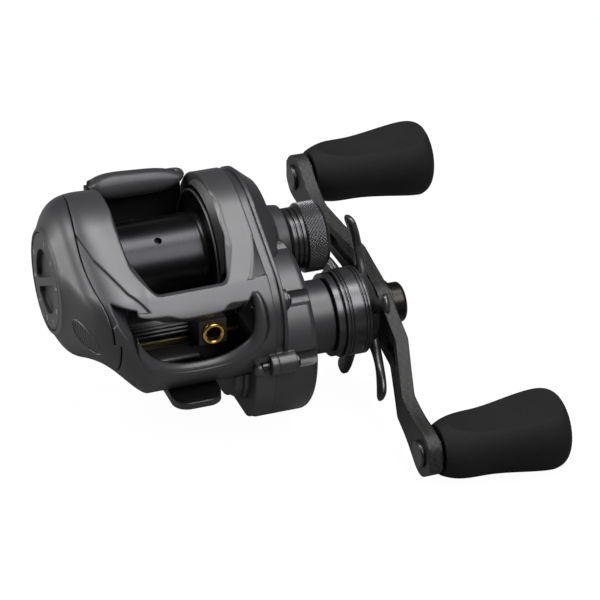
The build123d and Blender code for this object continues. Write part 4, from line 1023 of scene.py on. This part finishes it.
@dataclass
class PlateDetails:
    """The stepped rib under the chin beside the gear-side plate, and the plate's domed stud.

    outline is the rib's, as y and z; steps give each step's name, its free face along X and its size. edge and
    edge_size draw the outline in at the free face.
    """

    outline: tuple[Pair, ...] = ((-8, 3), (-18, 4), (-27.5, 4), (-27, 0), (-25.5, -3), (-22, -4.4), (-20, -5.8),
                                 (-18, -6.6), (-13, -7), (-9, -5))
    steps: tuple[tuple[str, float, float], ...] = (("plate_rib_low", 11.2, 1.0), ("plate_rib_high", 9.4, 0.86))
    plate: float = 12.6
    edge: tuple[float, ...] = (0.0, 0.12, 0.4)
    edge_size: tuple[float, ...] = (0.95, 0.985, 1.0, 1.0)
    stud: Triple = (13.3, -31.0, 6.6)
    stud_radius: float = 1.35
    stud_height: float = 0.9
    stud_root: float = 1.2
    stud_rows: int = 14
    stud_around: int = 40
    pole: float = 0.03

    def build(self) -> None:
        """The rib is one outline in the YZ plane, drawn in at its free face. The stud is a quarter ellipse
        turned about an axis along Y."""
        outline = np.array(self.outline)
        for name, face, grown in self.steps:
            x = np.array((*(face + edge for edge in self.edge), self.plate))
            grid = drawn(x, np.array(self.edge_size) * grown, outline, outline.mean(0))
            make_piece(name, skin(grid), FRAME_PAINT, "frame_body", smooth=False)
        turn = np.linspace(self.pole, math.pi / 2, self.stud_rows)
        along = np.append(-self.stud_height * np.cos(turn), self.stud_root)
        radius = np.append(self.stud_radius * np.sin(turn), self.stud_radius)
        dome = turned(along, radius, self.stud_around, (0.0, 0.0), ring=False)
        make_piece("plate_stud", laid_along_y(dome, np.array(self.stud)), FRAME_PAINT, "frame_body")


@dataclass
class LineEye:
    """The hard ring that the line runs through, in place of the plain ring."""

    radius: float = 2.08
    half: Pair = (0.75, 0.56)
    section: int = 24
    around: int = 96

    def build(self) -> None:
        """A ring of oval section about an axis along Y."""
        ring = oval_ring(0.0, self.radius, self.half, (0.0, 0.0), self.section, self.around)
        eye = make_piece("line_eye_ring", laid_along_y(ring, corners("line_eye")[2]), GOLD, "line_guide_body")
        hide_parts("line_eye")


# ---------------------------------------------------------------- studio
@dataclass(frozen=True)
class Lamp:
    """One square soft lamp: where it hangs and its side in metres, its power in watts."""

    name: str
    place: Triple
    side: float
    power: float

    def hang(self, aim: Triple) -> None:
        """Add the lamp, turned towards a place.

        Args:
            aim: the place, in metres.
        """
        data = bpy.data.lights.new(self.name, "AREA")
        data.size, data.energy = self.side, self.power
        lamp = bpy.data.objects.new(self.name, data)
        lamp.location = self.place
        lamp.rotation_euler = (Vector(self.place) - Vector(aim)).to_track_quat("Z", "Y").to_euler()
        bpy.context.scene.collection.objects.link(lamp)


@dataclass
class Studio:
    """Floor, soft lamps, world and camera. Lengths are in metres, angles in degrees, the lens in mm."""

    floor_z: float = -0.0166
    floor_reach: float = 6.0
    paper: str = "#808080"
    glow: float = 1.15
    glow_share: float = 0.85
    sky: float = 0.08
    aim: Triple = (0.01, 0.0, 0.015)
    lamps: tuple[Lamp, ...] = (
        Lamp("left", (-0.62, 0.22, 0.68), 0.35, 5.2),
        Lamp("rim", (-0.8, 0.5, 0.12), 0.25, 3),
        Lamp("top", (0.14, -0.06, 0.9), 0.4, 7),
        Lamp("front", (0.25, -0.55, 0.68), 0.5, 5.6),
    )
    eye: Triple = (-0.15178, -0.49920, 0.30797)
    azimuth: float = -20.4
    elevation: float = 29.76
    roll: float = 0.26
    lens: float = 162.5
    sensor: float = 36.0
    clip: Pair = (0.01, 20)

    def camera(self) -> None:
        """Place the camera from its azimuth, elevation and roll."""
        a, e, r = (math.radians(v) for v in (self.azimuth, self.elevation, self.roll))
        back = Vector((math.sin(a) * math.cos(e), -math.cos(a) * math.cos(e), math.sin(e)))
        right = Vector((math.cos(a), math.sin(a), 0))
        up = back.cross(right)
        level, high = right * math.cos(r) + up * math.sin(r), up * math.cos(r) - right * math.sin(r)
        data = bpy.data.cameras.new("camera")
        data.lens, data.sensor_width = self.lens, self.sensor
        data.clip_start, data.clip_end = self.clip
        camera = bpy.data.objects.new("camera", data)
        turn = Matrix((level, high, back)).transposed().to_4x4()
        camera.matrix_world = Matrix.Translation(self.eye) @ turn
        bpy.context.scene.collection.objects.link(camera)
        bpy.context.scene.camera = camera

    def world(self) -> None:
        """White to the camera, soft grey as light and in reflections."""
        world = bpy.data.worlds.new("studio")
        world.use_nodes = True
        tree = world.node_tree
        tree.nodes.clear()
        path = add(tree, "LightPath")
        light = add(tree, "Background", Color=(1, 1, 1, 1), Strength=self.sky)
        seen = add(tree, "Background", Color=(1, 1, 1, 1), Strength=1.0)
        mix = add(tree, "MixShader", Fac=path.outputs["Is Camera Ray"], i1=light.outputs[0], i2=seen.outputs[0])
        add(tree, "OutputWorld", Surface=mix.outputs[0])
        bpy.context.scene.world = world

    def floor(self) -> None:
        """A wide level floor, white to the camera with the object's soft shadow."""
        mesh = bpy.data.meshes.new("floor")
        signs = ((-1, -1), (1, -1), (1, 1), (-1, 1))
        mesh.from_pydata([(x * self.floor_reach, y * self.floor_reach, self.floor_z) for x, y in signs], [],
                         [(0, 1, 2, 3)])
        floor = bpy.data.objects.new("floor", mesh)
        bpy.context.scene.collection.objects.link(floor)
        material = bpy.data.materials.new("floor_paper")
        material.use_nodes = True
        tree = material.node_tree
        tree.nodes.clear()
        path = add(tree, "LightPath")
        paper = add(tree, "BsdfDiffuse", Color=linear(self.paper))
        glow = add(tree, "Emission", Color=(1, 1, 1, 1), Strength=self.glow)
        share = add(tree, "Math", {"operation": "MULTIPLY"}, i0=path.outputs["Is Camera Ray"], i1=self.glow_share)
        mix = add(tree, "MixShader", Fac=share.outputs[0], i1=paper.outputs[0], i2=glow.outputs[0])
        add(tree, "OutputMaterial", Surface=mix.outputs[0])
        mesh.materials.append(material)

    def build(self) -> None:
        """Set up floor, world, lamps and camera."""
        bpy.context.scene.view_settings.view_transform = "Standard"
        self.floor()
        self.world()
        for lamp in self.lamps:
            lamp.hang(self.aim)
        self.camera()


def main() -> None:
    """Build everything in order."""
    logging.basicConfig(level=logging.INFO, format="%(message)s")
    dress_nodes()
    for detail in (Knurling(), LevelWindWorm(), GuardTube(), YokeSprings(), RivetRims(), DialFigures(), ThumbRest(),
                   StarDrag(), OpeningRim(), HoodFlank(), ArchLiner(), SlideLip(), OvalPlate(), PlateDetails(),
                   LineEye()):
        detail.build()
    Studio().build()


if __name__ == "__main__":
    main()
